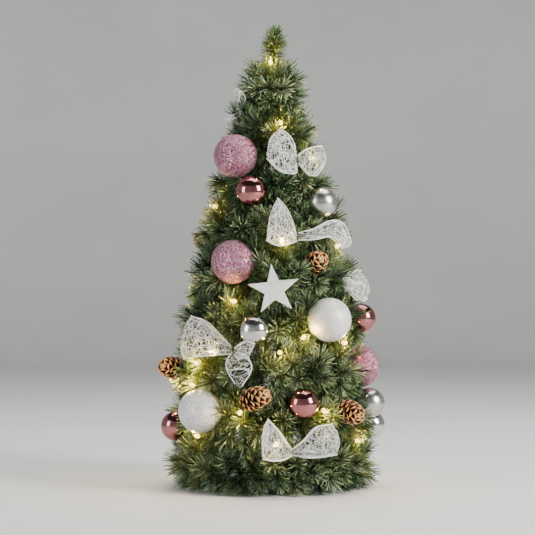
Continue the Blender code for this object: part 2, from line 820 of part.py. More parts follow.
def lead_line():
    """The lead from the battery box: round each valley, and through the inside of each ring at the back."""
    start = CASE_Y / 2 - CASE_WALL
    points = [Vector((GLAND_X, start, CELL_AXIS)), Vector((GLAND_X, start + 0.014, CELL_AXIS))]
    points.append(Vector((GLAND_X, start + 0.030, CELL_AXIS + 0.008)))
    points.append(around(CROSSING_ANGLE + 2, rib_radius(TIER_FIRST), TIER_FIRST + 0.019))
    for index in range(TIER_COUNT):
        height = valley_height(index)
        radius = lead_radius(height)
        span = 360 - 2 * CROSSING_HALF
        steps = math.ceil(span / LEAD_STEP * (1.0 if radius > 0.08 else 0.8 if radius > 0.04 else 0.6))
        for step in range(steps + 1):
            points.append(around(CROSSING_ANGLE + CROSSING_HALF + span * step / steps, radius, height))
        if index == TIER_COUNT - 1:
            break
        above = tier_height(index + 1)
        inside = core_radius(above) - brush_radius(index + 1) - 2.2 * LEAD_RADIUS
        inside = max(inside, FERRULE_RADIUS + LEAD_RADIUS + 2 * GAP)
        points.append(around(CROSSING_ANGLE - 3, inside, above - 0.25 * TIER_PITCH))
        points.append(around(CROSSING_ANGLE + 3, inside, above + 0.25 * TIER_PITCH))
    mast = MAST_WIRE + LEAD_RADIUS + 2 * GAP
    low = CROWN_HEIGHT - 2 * CROWN_BRUSH
    for share, turn in ((0.0, 180.0), (0.5, 200.0), (1.0, 260.0)):
        points.append(around(turn, mast + 0.0012, low + (SPRIG_BOTTOM - 0.010 - low) * share))
    points.append(around(CROWN_LED[0] + 360, mast + 0.004, SPRIG_BOTTOM - 0.006))
    return points


def led_profile(length):
    """An LED on its stalk along local Z: stalk, holder, then lens."""
    lens = length - LED_LENS_LENGTH
    holder = lens - LED_HOLDER_LENGTH
    return [
        (0, -LEAD_RADIUS * 0.4),
        (LEAD_RADIUS * 0.9, -LEAD_RADIUS * 0.4),
        (LEAD_RADIUS * 0.9, holder),
        (LED_HOLDER, holder + 0.001),
        (LED_HOLDER, lens),
        (0, length),
    ]


def led_clear(points, obstacles):
    """Whether a stalk from lead to lens stands clear of every decoration."""
    root, tip = points
    for centre, radius in obstacles:
        for share in (0.0, 0.2, 0.4, 0.6, 0.8, 1.0):
            spot = root.lerp(tip, share)
            if (spot - centre).length < radius + LED_HOLDER + 0.0015:
                return False
    return True


def nearest_on(line, spot):
    """The point of a polyline that is nearest to a spot."""
    best = line[0]
    for start, end in zip(line, line[1:]):
        share = intersect_point_line(spot, start, end)[1]
        found = start.lerp(end, min(1.0, max(0.0, share)))
        if (found - spot).length < (best - spot).length:
            best = found
    return best


def led_stalks(line, obstacles):
    """Root and tip of each LED. An LED that a decoration stops slides round to the nearest clear angle."""
    stalks = []
    for wanted, low_height in LED_PLACES:
        height = low_height * STRETCH
        index = min(range(TIER_COUNT), key=lambda valley: abs(valley_height(valley) - height))
        level = valley_height(index)
        climb = max(-LED_CLIMB, min(LED_CLIMB, height - level))
        for slide in sorted(range(-40, 41), key=abs):
            angle = wanted + slide
            off_crossing = abs((angle - CROSSING_ANGLE + 180) % 360 - 180)
            root = nearest_on(line, around(angle, lead_radius(level), level))
            tip = around(angle, reach(level + climb) - LED_INSET, level + climb)
            apart = all((tip - other).length > 4 * LED_HOLDER for _, other in stalks)
            if off_crossing > CROSSING_HALF + 4 and apart and led_clear((root, tip), obstacles):
                stalks.append((root, tip))
                break
    return stalks


def stalk_pockets(stalks):
    """A cutter round each LED, for the rings of foliage that it stands in."""
    pockets = []
    for index, (root, tip) in enumerate(stalks):
        length = (tip - root).length
        size = LED_HOLDER + POCKET
        cutter = rod(f"pocket_led_{index + 1}", size, length + size, 6, place=turn_to(tip - root, root))
        pockets.append((cutter, root.lerp(tip, 0.5), length / 2))
    return pockets


def cut_lead_groove(line, tiers):
    """A groove for the lead in the rings of foliage that it passes."""
    groove = as_mesh(wire("lead_groove", line[3:], LEAD_RADIUS + POCKET, 2))
    for tier in tiers:
        combine(tier, groove, "DIFFERENCE")


def make_light_string(places, green):
    line = lead_line()
    lead = as_mesh(wire("light_string", line, LEAD_RADIUS, 2, green))
    obstacles = [(place.centre(), place.radius) for place in places.values()]
    obstacles += [(guard.centre(), guard.radius) for guard in bow_guards()]
    stalks = led_stalks(line, obstacles)
    crown_root = line[-1]
    stalks.append((crown_root, around(CROWN_LED[0], crown_root.xy.length + 0.016, CROWN_LED[1])))
    lamps = bmesh.new()
    for root, tip in stalks:
        lamp = turned_shape(led_profile((tip - root).length), 6)
        bmesh.ops.transform(lamp, matrix=turn_to(tip - root, root), verts=lamp.verts)
        mesh = bpy.data.meshes.new("lamp")
        lamp.to_mesh(mesh)
        lamp.free()
        lamps.from_mesh(mesh)
    combine(lead, finish_mesh("lamps", lamps), "UNION")
    return stalk_pockets(stalks)


# ---------------------------------------------------------------- battery box


def make_case(plastic):
    """The case: a bay for the cells, open below, and a closed room for the timer board."""
    half = CASE_X / 2
    case = box("battery_case", (-half, CASE_FRONT, CASE_BOTTOM), (half, -CASE_FRONT, CASE_TOP), plastic)
    bay_half = CASE_BAY_X / 2
    roof = CASE_TOP - CASE_WALL
    groove_top = GROOVE_LOW + GROOVE_HEIGHT
    board_floor = CASE_BOTTOM + CASE_WALL
    knob_slot = (KNOB_LENGTH / 2 + KNOB_TRAVEL + 2 * GAP, KNOB_WIDTH / 2 + GAP)
    cuts = (
        ((-bay_half, BAY_FRONT, CASE_BOTTOM - 0.002), (bay_half, BAY_BACK, roof)),
        (
            (-bay_half - COVER_GROOVE, BAY_FRONT - COVER_GROOVE, GROOVE_LOW),
            (half + 0.001, BAY_BACK + COVER_GROOVE, groove_top),
        ),
        ((bay_half - 0.001, BAY_FRONT, CASE_BOTTOM - 0.002), (half + 0.001, BAY_BACK, groove_top - GAP)),
        ((-bay_half, BAY_BACK + CASE_WALL, board_floor), (bay_half, -BAY_FRONT, roof)),
        (
            (-knob_slot[0], KNOB_Y - knob_slot[1], CASE_BOTTOM - 0.001),
            (knob_slot[0], KNOB_Y + knob_slot[1], board_floor + 0.001),
        ),
    )
    for index, (low, high) in enumerate(cuts):
        combine(case, box(f"case_cut_{index + 1}", low, high), "DIFFERENCE")
    holes = bmesh.new()
    for place, radius, turn in (
        (Vector((GLAND_X, -CASE_FRONT, CELL_AXIS)), 0.0026, math.pi / 2),
        (Vector((0, CASE_Y / 4, CASE_TOP)), SCREW_RADIUS + GAP, 0),
        (Vector((0, -CASE_Y / 4, CASE_TOP)), SCREW_RADIUS + GAP, 0),
    ):
        matrix = Matrix.Translation(place) @ Matrix.Rotation(turn, 4, "X")
        bmesh.ops.create_cone(
            holes,
            segments=14,
            cap_ends=True,
            radius1=radius,
            radius2=radius,
            depth=3.2 * CASE_WALL,
            matrix=matrix,
        )
    combine(case, finish_mesh("case_holes", holes), "DIFFERENCE")


def make_cover(plastic):
    """The cover under the cells, which slides out of its grooves towards +X."""
    low = (-CASE_BAY_X / 2 - COVER_GROOVE + GAP, BAY_FRONT - COVER_GROOVE + GAP, GROOVE_LOW + GAP)
    high = (CASE_X / 2, BAY_BACK + COVER_GROOVE - GAP, GROOVE_LOW + GAP + COVER_THICK)
    cover = box("battery_cover", low, high, plastic)
    middle = (BAY_FRONT + BAY_BACK) / 2
    for index in range(3):
        ridge = CASE_X / 2 - 0.008 - 0.003 * index
        grip = box(
            f"cover_grip_{index + 1}",
            (ridge, middle - 0.007, GROOVE_LOW - 0.0005),
            (ridge + 0.0012, middle + 0.007, GROOVE_LOW + 0.001),
        )
        combine(cover, grip, "UNION")
    set_origin(cover, ((low[0] + high[0]) / 2, middle, low[2]))


def make_cells(sleeve, steel):
    """Three AA cells side by side and the two contact plates at their ends."""
    nub = 0.0015
    for index in range(CELL_COUNT):
        centre_y = BAY_FRONT + (index + 0.5) * (2 * CELL_RADIUS + CELL_FIT)
        facing = 1 if index % 2 == 0 else -1
        profile = [
            (0, 0),
            (CELL_RADIUS, 0),
            (CELL_RADIUS, CELL_LENGTH - nub),
            (0.0027, CELL_LENGTH - nub),
            (0.0027, CELL_LENGTH),
            (0, CELL_LENGTH),
        ]
        start = Matrix.Translation((-facing * CELL_LENGTH / 2, centre_y, CELL_AXIS))
        lying = start @ Matrix.Rotation(facing * math.pi / 2, 4, "Y")
        turned(f"battery_cell_{index + 1}", profile, 14, sleeve, lying)
    for name, side in (("contact_plate_left", -1), ("contact_plate_right", 1)):
        face = side * (CASE_BAY_X / 2 - GAP)
        inner = side * (CELL_LENGTH / 2 + GAP + 0.0001)
        plate = sorted((face, face - side * 0.0005))
        made = box(
            name,
            (plate[0], BAY_FRONT + 0.001, CELL_AXIS - 0.005),
            (plate[1], BAY_BACK - 0.001, CELL_AXIS + 0.005),
            steel,
        )
        springs = bmesh.new()
        for index in range(CELL_COUNT):
            centre_y = BAY_FRONT + (index + 0.5) * (2 * CELL_RADIUS + CELL_FIT)
            depth = abs(face - inner)
            matrix = Matrix.Translation(((face + inner) / 2, centre_y, CELL_AXIS)) @ Matrix.Rotation(
                side * math.pi / 2, 4, "Y"
            )
            bmesh.ops.create_cone(
                springs, segments=8, cap_ends=True, radius1=0.0016, radius2=0.0034, depth=depth, matrix=matrix
            )
        combine(made, finish_mesh(f"{name}_springs", springs), "UNION")


def make_timer(circuit, rubber, plastic):
    """The timer board, the knob of its slide switch in the case's underside, and the lead's gland."""
    half = CASE_BAY_X / 2 - 0.004
    floor = CASE_BOTTOM + CASE_WALL
    flange = (KNOB_LENGTH / 2 + KNOB_FLANGE, KNOB_WIDTH / 2 + KNOB_FLANGE)
    knob_top = floor + GAP + 0.0012
    board_z = knob_top + GAP
    board_y = (BAY_BACK + CASE_WALL + GAP, -BAY_FRONT - GAP)
    box("timer_board", (-half, board_y[0], board_z), (half, board_y[1], board_z + 0.0016), circuit)
    knob = box(
        "switch_knob",
        (-flange[0], KNOB_Y - flange[1], floor + GAP),
        (flange[0], KNOB_Y + flange[1], knob_top),
        plastic,
    )
    stub = box(
        "knob_stub",
        (-KNOB_LENGTH / 2, KNOB_Y - KNOB_WIDTH / 2, CASE_BOTTOM - 0.0016),
        (KNOB_LENGTH / 2, KNOB_Y + KNOB_WIDTH / 2, knob_top - 0.0003),
    )
    combine(knob, stub, "UNION")
    set_origin(knob, (0, KNOB_Y, floor + GAP))
    wall = CASE_WALL
    gland = [
        (LEAD_RADIUS + GAP, -wall - 0.0018),
        (0.0034, -wall - 0.0018),
        (0.0034, -wall - GAP),
        (0.0026 - GAP, -wall - GAP),
        (0.0026 - GAP, GAP),
        (0.0042, GAP),
        (0.0022, 0.009),
        (LEAD_RADIUS + GAP, 0.009),
    ]
    place = Matrix.Translation((GLAND_X, -CASE_FRONT, CELL_AXIS)) @ Matrix.Rotation(-math.pi / 2, 4, "X")
    turned("lead_gland", gland, 12, rubber, place)


def make_screws(steel):
    for index, side in enumerate((-1, 1)):
        top = CASE_TOP + GAP + BRACKET_THICK + GAP
        profile = [
            (0, CASE_TOP - CASE_WALL - 0.0008),
            (SCREW_RADIUS, CASE_TOP - CASE_WALL - 0.0008),
            (SCREW_RADIUS, top),
            (0.003, top),
            (0.0024, top + 0.0016),
            (0, top + 0.0018),
        ]
        place = Matrix.Translation((0, side * CASE_Y / 4, 0))
        turned(f"bracket_screw_{index + 1}", profile, 10, steel, place)


# ---------------------------------------------------------------- the whole tree


def make_finishes():
    rose = material("rose glitter", (0.62, 0.32, 0.36), 0.35, 0.3)
    rose_shine = material("rose shine", (0.55, 0.27, 0.26), 0.08, 1.0)
    silver = material("silver shine", (0.80, 0.79, 0.76), 0.15, 1.0)
    pearl = material("pearl", (0.78, 0.75, 0.72), 0.30, 0.2)
    balls = {
        "ball_large_1": rose,
        "ball_large_2": rose,
        "ball_large_3": pearl,
        "ball_large_4": pearl,
        "ball_large_5": rose,
        "ball_large_6": pearl,
        "ball_small_1": rose_shine,
        "ball_small_2": silver,
        "ball_small_3": silver,
        "ball_small_4": rose_shine,
        "ball_small_5": rose_shine,
        "ball_small_6": rose_shine,
        "ball_small_7": silver,
        "ball_small_8": silver,
        "ball_small_9": rose_shine,
    }
    others = {
        "cone": material("pine cone", (0.16, 0.07, 0.035), 0.45),
        "ribbon": material("web ribbon", (0.85, 0.83, 0.80), 0.6),
        "wood": material("painted wood", (0.82, 0.81, 0.77), 0.55),
        "steel": material("coated steel wire", (0.05, 0.09, 0.05), 0.5, 0.4),
        "foliage": material("needles", (0.07, 0.14, 0.06), 0.6),
        "green": material("green lead", (0.02, 0.06, 0.03), 0.5),
        "plastic": material("black plastic", (0.02, 0.02, 0.02), 0.45),
        "rubber": material("rubber", (0.03, 0.03, 0.03), 0.8),
        "sleeve": material("cell sleeve", (0.15, 0.16, 0.18), 0.3, 0.5),
        "contact": material("sprung contact", (0.6, 0.6, 0.6), 0.3, 1.0),
        "circuit": material("circuit board", (0.02, 0.18, 0.06), 0.5),
    }
    return balls | others


def main():
    clear_scene()
    finishes = make_finishes()
    make_frame(finishes["steel"])
    tiers = make_tiers(finishes["foliage"])
    make_sprig(finishes["foliage"])
    places, pockets = make_decorations(finishes)
    pockets += make_light_string(places, finishes["green"])
    cut_lead_groove(lead_line(), tiers)
    cut_pockets(tiers, pockets)
    make_case(finishes["plastic"])
    make_cover(finishes["plastic"])
    make_cells(finishes["sleeve"], finishes["contact"])
    make_timer(finishes["circuit"], finishes["rubber"], finishes["contact"])
    make_screws(finishes["contact"])


main()
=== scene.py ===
# %% [markdown]
# # A small decorated tree, needle by needle
#
# The real object is a wire cone with rings of needle garland tied round it. Balls, pine cones, ribbon
# bows and a wooden star nestle in the foliage, and a string of small warm lamps runs through it to a
# battery box inside. This lesson builds its looks round the CAD model: hard pieces such as the wire
# frame and the box keep their CAD mesh and get a finish, and the soft and detailed pieces are modelled
# here with bmesh operators, in the places that the CAD model gives them.

# %% Load the frame
import math

import bmesh
import bpy
import numpy as np
from mathutils import Matrix, Quaternion, Vector
from mathutils.bvhtree import BVHTree


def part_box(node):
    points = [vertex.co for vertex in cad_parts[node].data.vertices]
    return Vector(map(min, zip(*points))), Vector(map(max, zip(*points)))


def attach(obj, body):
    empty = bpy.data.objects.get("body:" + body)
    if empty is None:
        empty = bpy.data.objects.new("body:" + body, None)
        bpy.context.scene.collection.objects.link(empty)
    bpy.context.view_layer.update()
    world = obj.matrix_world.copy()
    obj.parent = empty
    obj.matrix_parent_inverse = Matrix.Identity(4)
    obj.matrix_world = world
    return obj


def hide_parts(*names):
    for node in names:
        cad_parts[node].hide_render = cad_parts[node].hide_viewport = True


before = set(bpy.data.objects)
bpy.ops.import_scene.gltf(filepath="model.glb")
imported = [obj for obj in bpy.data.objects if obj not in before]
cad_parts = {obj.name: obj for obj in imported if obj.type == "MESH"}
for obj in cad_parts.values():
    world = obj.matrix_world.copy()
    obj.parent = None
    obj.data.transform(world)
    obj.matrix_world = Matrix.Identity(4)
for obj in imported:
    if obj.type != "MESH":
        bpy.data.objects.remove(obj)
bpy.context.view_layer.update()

# %% [markdown]
# ## Camera, floor and light
#
# The camera stands level, a little under half the tree's height, and far enough away that the tree shows
# almost no perspective: a long lens from 2.6 m. A soft key light from the right, a weaker one from the
# left and one above give the balls something to mirror. The floor curves up into a wall all the way
# round, like a bowl, so that there is a backdrop on every side.


# %% Camera
def add_object(name, data):
    """An object in the scene that shows a mesh, a curve or a light."""
    made = bpy.data.objects.new(name, data)
    bpy.context.scene.collection.objects.link(made)
    return made


camera_data = bpy.data.cameras.new("camera")
camera_data.lens = 123.8
camera_data.sensor_width = 36.0
camera = add_object("camera", camera_data)
camera.location = (-0.0064, -2.6, 0.3087)
camera.rotation_euler = (math.pi / 2, 0, 0)
bpy.context.scene.camera = camera
print("camera at", tuple(round(value, 3) for value in camera.location))


# %% Lights and world
def add_area_light(name, place, target, size, power, colour=(1, 1, 1)):
    light = bpy.data.lights.new(name, "AREA")
    light.shape = "RECTANGLE"
    light.size, light.size_y = size
    light.energy = power
    light.color = colour
    made = add_object(name, light)
    made.location = place
    made.rotation_euler = (Vector(target) - Vector(place)).to_track_quat("-Z", "Y").to_euler()
    made.visible_camera = False


add_area_light("key", (2.0, -1.25, 1.2), (0, 0, 0.32), (0.9, 1.3), 112, (1.0, 0.985, 0.96))
add_area_light("fill", (-2.0, -1.1, 0.8), (0, 0, 0.30), (0.8, 1.3), 30, (0.95, 0.98, 1.0))
add_area_light("top", (0.1, 0.5, 2.1), (0, 0.3, 0.3), (1.8, 1.4), 44)
world = bpy.data.worlds.new("studio")
world.use_nodes = True
world.node_tree.nodes["Background"].inputs["Color"].default_value = (0.80, 0.83, 0.88, 1)
world.node_tree.nodes["Background"].inputs["Strength"].default_value = 0.07
bpy.context.scene.world = world


# %% Helpers for meshes
def mesh_from(name, shape):
    """The mesh made from a bmesh, which is used up."""
    mesh = bpy.data.meshes.new(name)
    shape.to_mesh(mesh)
    shape.free()
    return mesh


def mesh_object(name, shape, finish, smooth=False):
    """The object made from a bmesh."""
    mesh = mesh_from(name, shape)
    if smooth:
        mesh.shade_smooth()
    mesh.materials.append(finish)
    return add_object(name, mesh)


def spun(profile, sides, closed=False):
    """A bmesh turned round Z from (radius, height) points."""
    shape = bmesh.new()
    corners = [shape.verts.new((radius, 0.0, height)) for radius, height in profile]
    edges = [shape.edges.new(pair) for pair in zip(corners, corners[1:])]
    if closed:
        edges.append(shape.edges.new((corners[-1], corners[0])))
    turn = {"axis": (0, 0, 1), "cent": (0, 0, 0), "angle": 2 * math.pi, "steps": sides}
    bmesh.ops.spin(shape, geom=corners + edges, use_merge=True, **turn)
    bmesh.ops.remove_doubles(shape, verts=shape.verts, dist=1e-6)
    bmesh.ops.recalc_face_normals(shape, faces=shape.faces)
    return shape


def add_copy(target, source, matrix):
    """Adds a copy of a mesh, placed by a matrix, to a bmesh."""
    placed = source.copy()
    placed.transform(matrix)
    target.from_mesh(placed)
    bpy.data.meshes.remove(placed)


def tube(name, lines, radius, finish, resolution=1, cyclic=False):
    """Round wires along lists of points, as one mesh."""
    curve = bpy.data.curves.new(name, "CURVE")
    curve.dimensions = "3D"
    curve.bevel_depth = radius
    curve.bevel_resolution = resolution
    curve.use_fill_caps = not cyclic
    for points in lines:
        line = curve.splines.new("POLY")
        line.points.add(len(points) - 1)
        line.points.foreach_set("co", [value for point in points for value in (*point, 1.0)])
        line.use_cyclic_u = cyclic
    guide = add_object(name + ".guide", curve)
    bpy.context.view_layer.update()
    mesh = bpy.data.meshes.new_from_object(guide.evaluated_get(bpy.context.evaluated_depsgraph_get()))
    bpy.data.objects.remove(guide)
    mesh.name = name
    mesh.materials.clear()
    mesh.materials.append(finish)
    mesh.shade_smooth()
    return add_object(name, mesh)


def aimed(direction, place):
    """Matrix that stands local Z along a direction at a place."""
    return Matrix.Translation(place) @ Vector(direction).to_track_quat("Z", "Y").to_matrix().to_4x4()


print("mesh helpers ready")


# %% Helpers for curves
def between(p0, p1, p2, p3, t):
    """A point on the smooth curve from p1 to p2, with p0 and p3 as their neighbours."""
    bend = 2 * p0 - 5 * p1 + 4 * p2 - p3
    return 0.5 * (2 * p1 + (p2 - p0) * t + bend * t * t + (3 * p1 - p0 - 3 * p2 + p3) * t**3)


def smooth_line(points, steps):
    """Points of a smooth curve through the given ones."""
    found = []
    for index in range(len(points) - 1):
        p1, p2 = points[index], points[index + 1]
        p0, p3 = points[max(0, index - 1)], points[min(len(points) - 1, index + 2)]
        found += [between(p0, p1, p2, p3, step / steps) for step in range(steps)]
    return found + [points[-1]]


print("curve helpers ready")


# %% Helpers for finishes
def new_finish(name, colour=(0.8, 0.8, 0.8), roughness=0.5, metallic=0.0):
    """A material, its Principled shader and its node tree."""
    made = bpy.data.materials.new(name)
    made.use_nodes = True
    shader = made.node_tree.nodes["Principled BSDF"]
    shader.inputs["Base Color"].default_value = (*colour, 1)
    shader.inputs["Roughness"].default_value = roughness
    shader.inputs["Metallic"].default_value = metallic
    return made, shader, made.node_tree


def node(tree, kind, **settings):
    """A shader node with some of its settings and inputs filled in."""
    made = tree.nodes.new(kind)
    for key, value in settings.items():
        if hasattr(made, key):
            setattr(made, key, value)
        else:
            made.inputs[key.replace("_", " ")].default_value = value
    return made


def maths(tree, kind, operation, first, second):
    """A maths node of a kind. Each input may be a socket or a plain value."""
    made = node(tree, kind, operation=operation)
    for socket, value in zip(made.inputs, (first, second)):
        if isinstance(value, bpy.types.NodeSocket):
            tree.links.new(value, socket)
        else:
            socket.default_value = value
    return made.outputs


def ramp(tree, source, stops):
    """A colour ramp on a value. Each stop is a place and a colour."""
    made = tree.nodes.new("ShaderNodeValToRGB")
    while len(made.color_ramp.elements) < len(stops):
        made.color_ramp.elements.new(0.5)
    for element, (place, colour) in zip(made.color_ramp.elements, stops):
        element.position = place
        element.color = (*colour, 1)
    tree.links.new(source, made.inputs["Fac"])
    return made.outputs["Color"]


def mixed(tree, factor, first, second, blend="MIX"):
    """Two colours mixed by a factor. Each may be a socket or a plain colour."""
    made = tree.nodes.new("ShaderNodeMix")
    made.data_type = "RGBA"
    made.blend_type = blend
    for socket, value in ((made.inputs[0], factor), (made.inputs[6], first), (made.inputs[7], second)):
        if isinstance(value, bpy.types.NodeSocket):
            tree.links.new(value, socket)
        else:
            socket.default_value = (*value, 1) if isinstance(value, tuple) else value
    return made.outputs[2]


def ramp_value(tree, source, low, high, to_low, to_high):
    """A value's range stretched to another range."""
    made = tree.nodes.new("ShaderNodeMapRange")
    made.inputs["From Min"].default_value = low
    made.inputs["From Max"].default_value = high
    made.inputs["To Min"].default_value = to_low
    made.inputs["To Max"].default_value = to_high
    tree.links.new(source, made.inputs["Value"])
    return made.outputs["Result"]


def object_place(tree):
    return tree.nodes.new("ShaderNodeTexCoord").outputs["Object"]


def noise(tree, scale, detail=2.0, roughness=0.5, place=None):
    made = node(tree, "ShaderNodeTexNoise", Scale=scale, Detail=detail, Roughness=roughness)
    tree.links.new(place or object_place(tree), made.inputs["Vector"])
    return made.outputs["Fac"]


def bump(tree, shader, height, strength, distance):
    made = node(tree, "ShaderNodeBump", Strength=strength, Distance=distance)
    tree.links.new(height, made.inputs["Height"])
    tree.links.new(made.outputs["Normal"], shader.inputs["Normal"])
    return made


print("finish helpers ready")

# %% [markdown]
# The floor is a profile turned round the tree's axis: flat under the tree, then a sweep up into a wall,
# as in a photographer's paper cove. Its faint mottling keeps it from looking like a void.

# %% Floor
paper, paper_shader, paper_tree = new_finish("paper cove", (0.72, 0.72, 0.71), 0.75)
paper_tone = ramp(
    paper_tree, noise(paper_tree, 3.0, 3.0), [(0.3, (0.70, 0.70, 0.69)), (0.7, (0.75, 0.75, 0.74))]
)
paper_tree.links.new(paper_tone, paper_shader.inputs["Base Color"])
FLOOR_REACH, WALL_REACH, WALL_TOP = 3.2, 4.2, 3.6
cove_profile = [(0.0, 0.0), (0.8, 0.0), (FLOOR_REACH, 0.0)]
for step in range(1, 13):
    turn = step * math.pi / 24
    cove_profile.append((FLOOR_REACH + math.sin(turn), 1 - math.cos(turn)))
cove_profile.append((WALL_REACH, WALL_TOP))
floor = mesh_object("paper_cove", spun(cove_profile, 96), paper, smooth=True)
print("cove spans", [round(value, 2) for value in floor.dimensions])

# %% [markdown]
# ## The shape of the tree
#
# Everything in the foliage hangs on one curve: how far the needle ends stand from the axis at each
# height. The rings of garland follow it at one pitch, with their wire cores a fixed distance inside it.
# These are the sizes that the CAD model was built with.

# %% Sizes of the foliage
REACH_BASE, REACH_START, REACH_SPAN, REACH_POWER = 0.150, 0.100, 0.600, 1.5
TIER_COUNT, TIER_PITCH = 8, 0.065
TIER_FIRST = 0.446 * TIER_PITCH + 0.005
TIP_REACH = 0.042
CROWN_HEIGHT = 0.556


def reach(height):
    share = max(0.0, (height - REACH_START) / REACH_SPAN)
    return REACH_BASE * (1.0 - share**REACH_POWER)


def core_radius(height):
    return reach(height) - TIP_REACH


def tier_height(index):
    return TIER_FIRST + TIER_PITCH * index


def around(angle, radius, height):
    """A point from its angle from the front, in degrees, its distance from the axis and its height."""
    turn = math.radians(angle)
    return Vector((radius * math.sin(turn), -radius * math.cos(turn), height))


for tier in range(TIER_COUNT):
    height = tier_height(tier)
    print(f"ring {tier + 1}: height {height:.3f}, core radius {core_radius(height):.3f}")


# %% [markdown]
# ## Where the decorations are
#
# Each CAD node says where its decoration is. A ball's mesh is turned about a level line through the
# tree's axis, so the mean of its points gives that line, and its outermost point gives the centre. A
# pine cone's ends are the outermost points along its axis. The lamps are the sharp six-sided points on
# the light string.


# %% Measure the CAD nodes
def node_points(name):
    return [vertex.co.copy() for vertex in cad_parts[name].data.vertices]


def ball_place(name, radius):
    """Centre of a ball and the direction that it faces."""
    points = node_points(name)
    mean = sum(points, Vector()) / len(points)
    outward = Vector((mean.x, mean.y, 0)).normalized()
    low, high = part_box(name)
    centre = outward * (max(point.dot(outward) for point in points) - radius)
    centre.z = (low.z + high.z) / 2
    return centre, outward


def surface_axes(angle, height):
    """Rotation at a point of the outline: x to the right, y up along the foliage, z outwards."""
    slope = math.atan2(reach(height) - reach(height + 0.001), 0.001)
    turn = math.radians(angle)
    right = Vector((math.cos(turn), math.sin(turn), 0))
    outwards = around(angle, math.cos(slope), math.sin(slope))
    return Matrix((right, outwards.cross(right), outwards)).transposed().to_4x4()


def cone_ends(name, turn, rise):
    """Stem end and tip of a pine cone, whose tip points outwards, turned sideways and raised."""
    points = node_points(name)
    centre = sum(points, Vector()) / len(points)
    angle = math.degrees(math.atan2(centre.x, -centre.y))
    aim = Matrix.Rotation(math.radians(turn), 4, "Y") @ Matrix.Rotation(math.radians(-rise), 4, "X")
    axis = (surface_axes(angle, centre.z) @ aim).to_3x3() @ Vector((0, 0, 1))
    spread = [(point - centre).dot(axis) for point in points]
    return centre + axis * min(spread), centre + axis * max(spread)


large_names = sorted(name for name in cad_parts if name.startswith("ball_large"))
small_names = sorted(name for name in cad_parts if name.startswith("ball_small"))
cone_names = sorted(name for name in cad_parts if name.startswith("pine_cone"))
bow_names = sorted(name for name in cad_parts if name.startswith("bow"))
LARGE_BALL, SMALL_BALL = 0.030, 0.021
balls = {name: (*ball_place(name, LARGE_BALL), LARGE_BALL) for name in large_names}
balls |= {name: (*ball_place(name, SMALL_BALL), SMALL_BALL) for name in small_names}
cone_aims = {
    "pine_cone_1": (50, 5),
    "pine_cone_2": (55, 12),
    "pine_cone_3": (-20, 5),
    "pine_cone_4": (-25, -8),
    "pine_cone_5": (0, 0),
}
cones = {name: cone_ends(name, *cone_aims[name]) for name in cone_names}
print(len(balls), "balls,", len(cones), "cones,", len(bow_names), "bows")


# %% Find the lamps on the light string
LENS_EDGE = 0.0077


def lamp_points():
    """Tip and direction of every lamp: a corner with equal sloping edges down to the holder's rim."""
    shape = bmesh.new()
    shape.from_mesh(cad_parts["light_string"].data)
    bmesh.ops.remove_doubles(shape, verts=shape.verts, dist=1e-6)
    found = []
    for corner in shape.verts:
        lengths = [edge.calc_length() for edge in corner.link_edges]
        if len(lengths) == 6 and max(abs(length - LENS_EDGE) for length in lengths) < 0.0002:
            rim = sum((edge.other_vert(corner).co for edge in corner.link_edges), Vector()) / 6
            found.append((corner.co.copy(), (corner.co - rim).normalized()))
    shape.free()
    return sorted(found, key=lambda lamp: tuple(lamp[0]))


lamps = lamp_points()
print(len(lamps), "lamps")

# %% [markdown]
# ## Needles
#
# A needle is a strip cut from stiff plastic film, about 20 mm long and 1.5 mm wide. Each one here is a
# three-sided sliver from `create_cone`, flattened, cut across the middle and bent there a little, which
# makes 14 triangles. A branch tip has 50 to 84 of them round a wire, leaning forwards more towards its
# end, which gives the star-shaped tufts. Fifteen different tips are made once and copied round the
# rings, so that the script doesn't have to build every needle.

# %% One needle
NEEDLE_LENGTH, NEEDLE_WIDTH = 0.0205, 0.00155
NEEDLE_POINTS = 9


def needle_mesh(length, width, bend):
    """A needle from the origin along Z, bent towards Y, with its colour attributes' layers."""
    shape = bmesh.new()
    shape.verts.layers.float.new("tint")
    shape.verts.layers.float.new("along")
    bmesh.ops.create_cone(
        shape,
        segments=3,
        cap_ends=True,
        cap_tris=False,
        radius1=width * 0.5,
        radius2=width * 0.30,
        depth=length,
        matrix=Matrix.Translation((0, 0, length / 2)),
    )
    long_edges = [edge for edge in shape.edges if abs(edge.verts[0].co.z - edge.verts[1].co.z) > length / 2]
    bmesh.ops.subdivide_edges(shape, edges=long_edges, cuts=1)
    along = shape.verts.layers.float["along"]
    for corner in shape.verts:
        share = corner.co.z / length
        corner[along] = share
        corner.co.x *= 1.15
        corner.co.y = corner.co.y * 0.35 + bend * length * share * share
    return mesh_from("needle", shape)


test_needle = needle_mesh(NEEDLE_LENGTH, NEEDLE_WIDTH, 0.1)
print("a needle has", len(test_needle.vertices), "points and", len(test_needle.polygons), "faces")


# %% Branch tips
GOLDEN_TURN = 2.39996


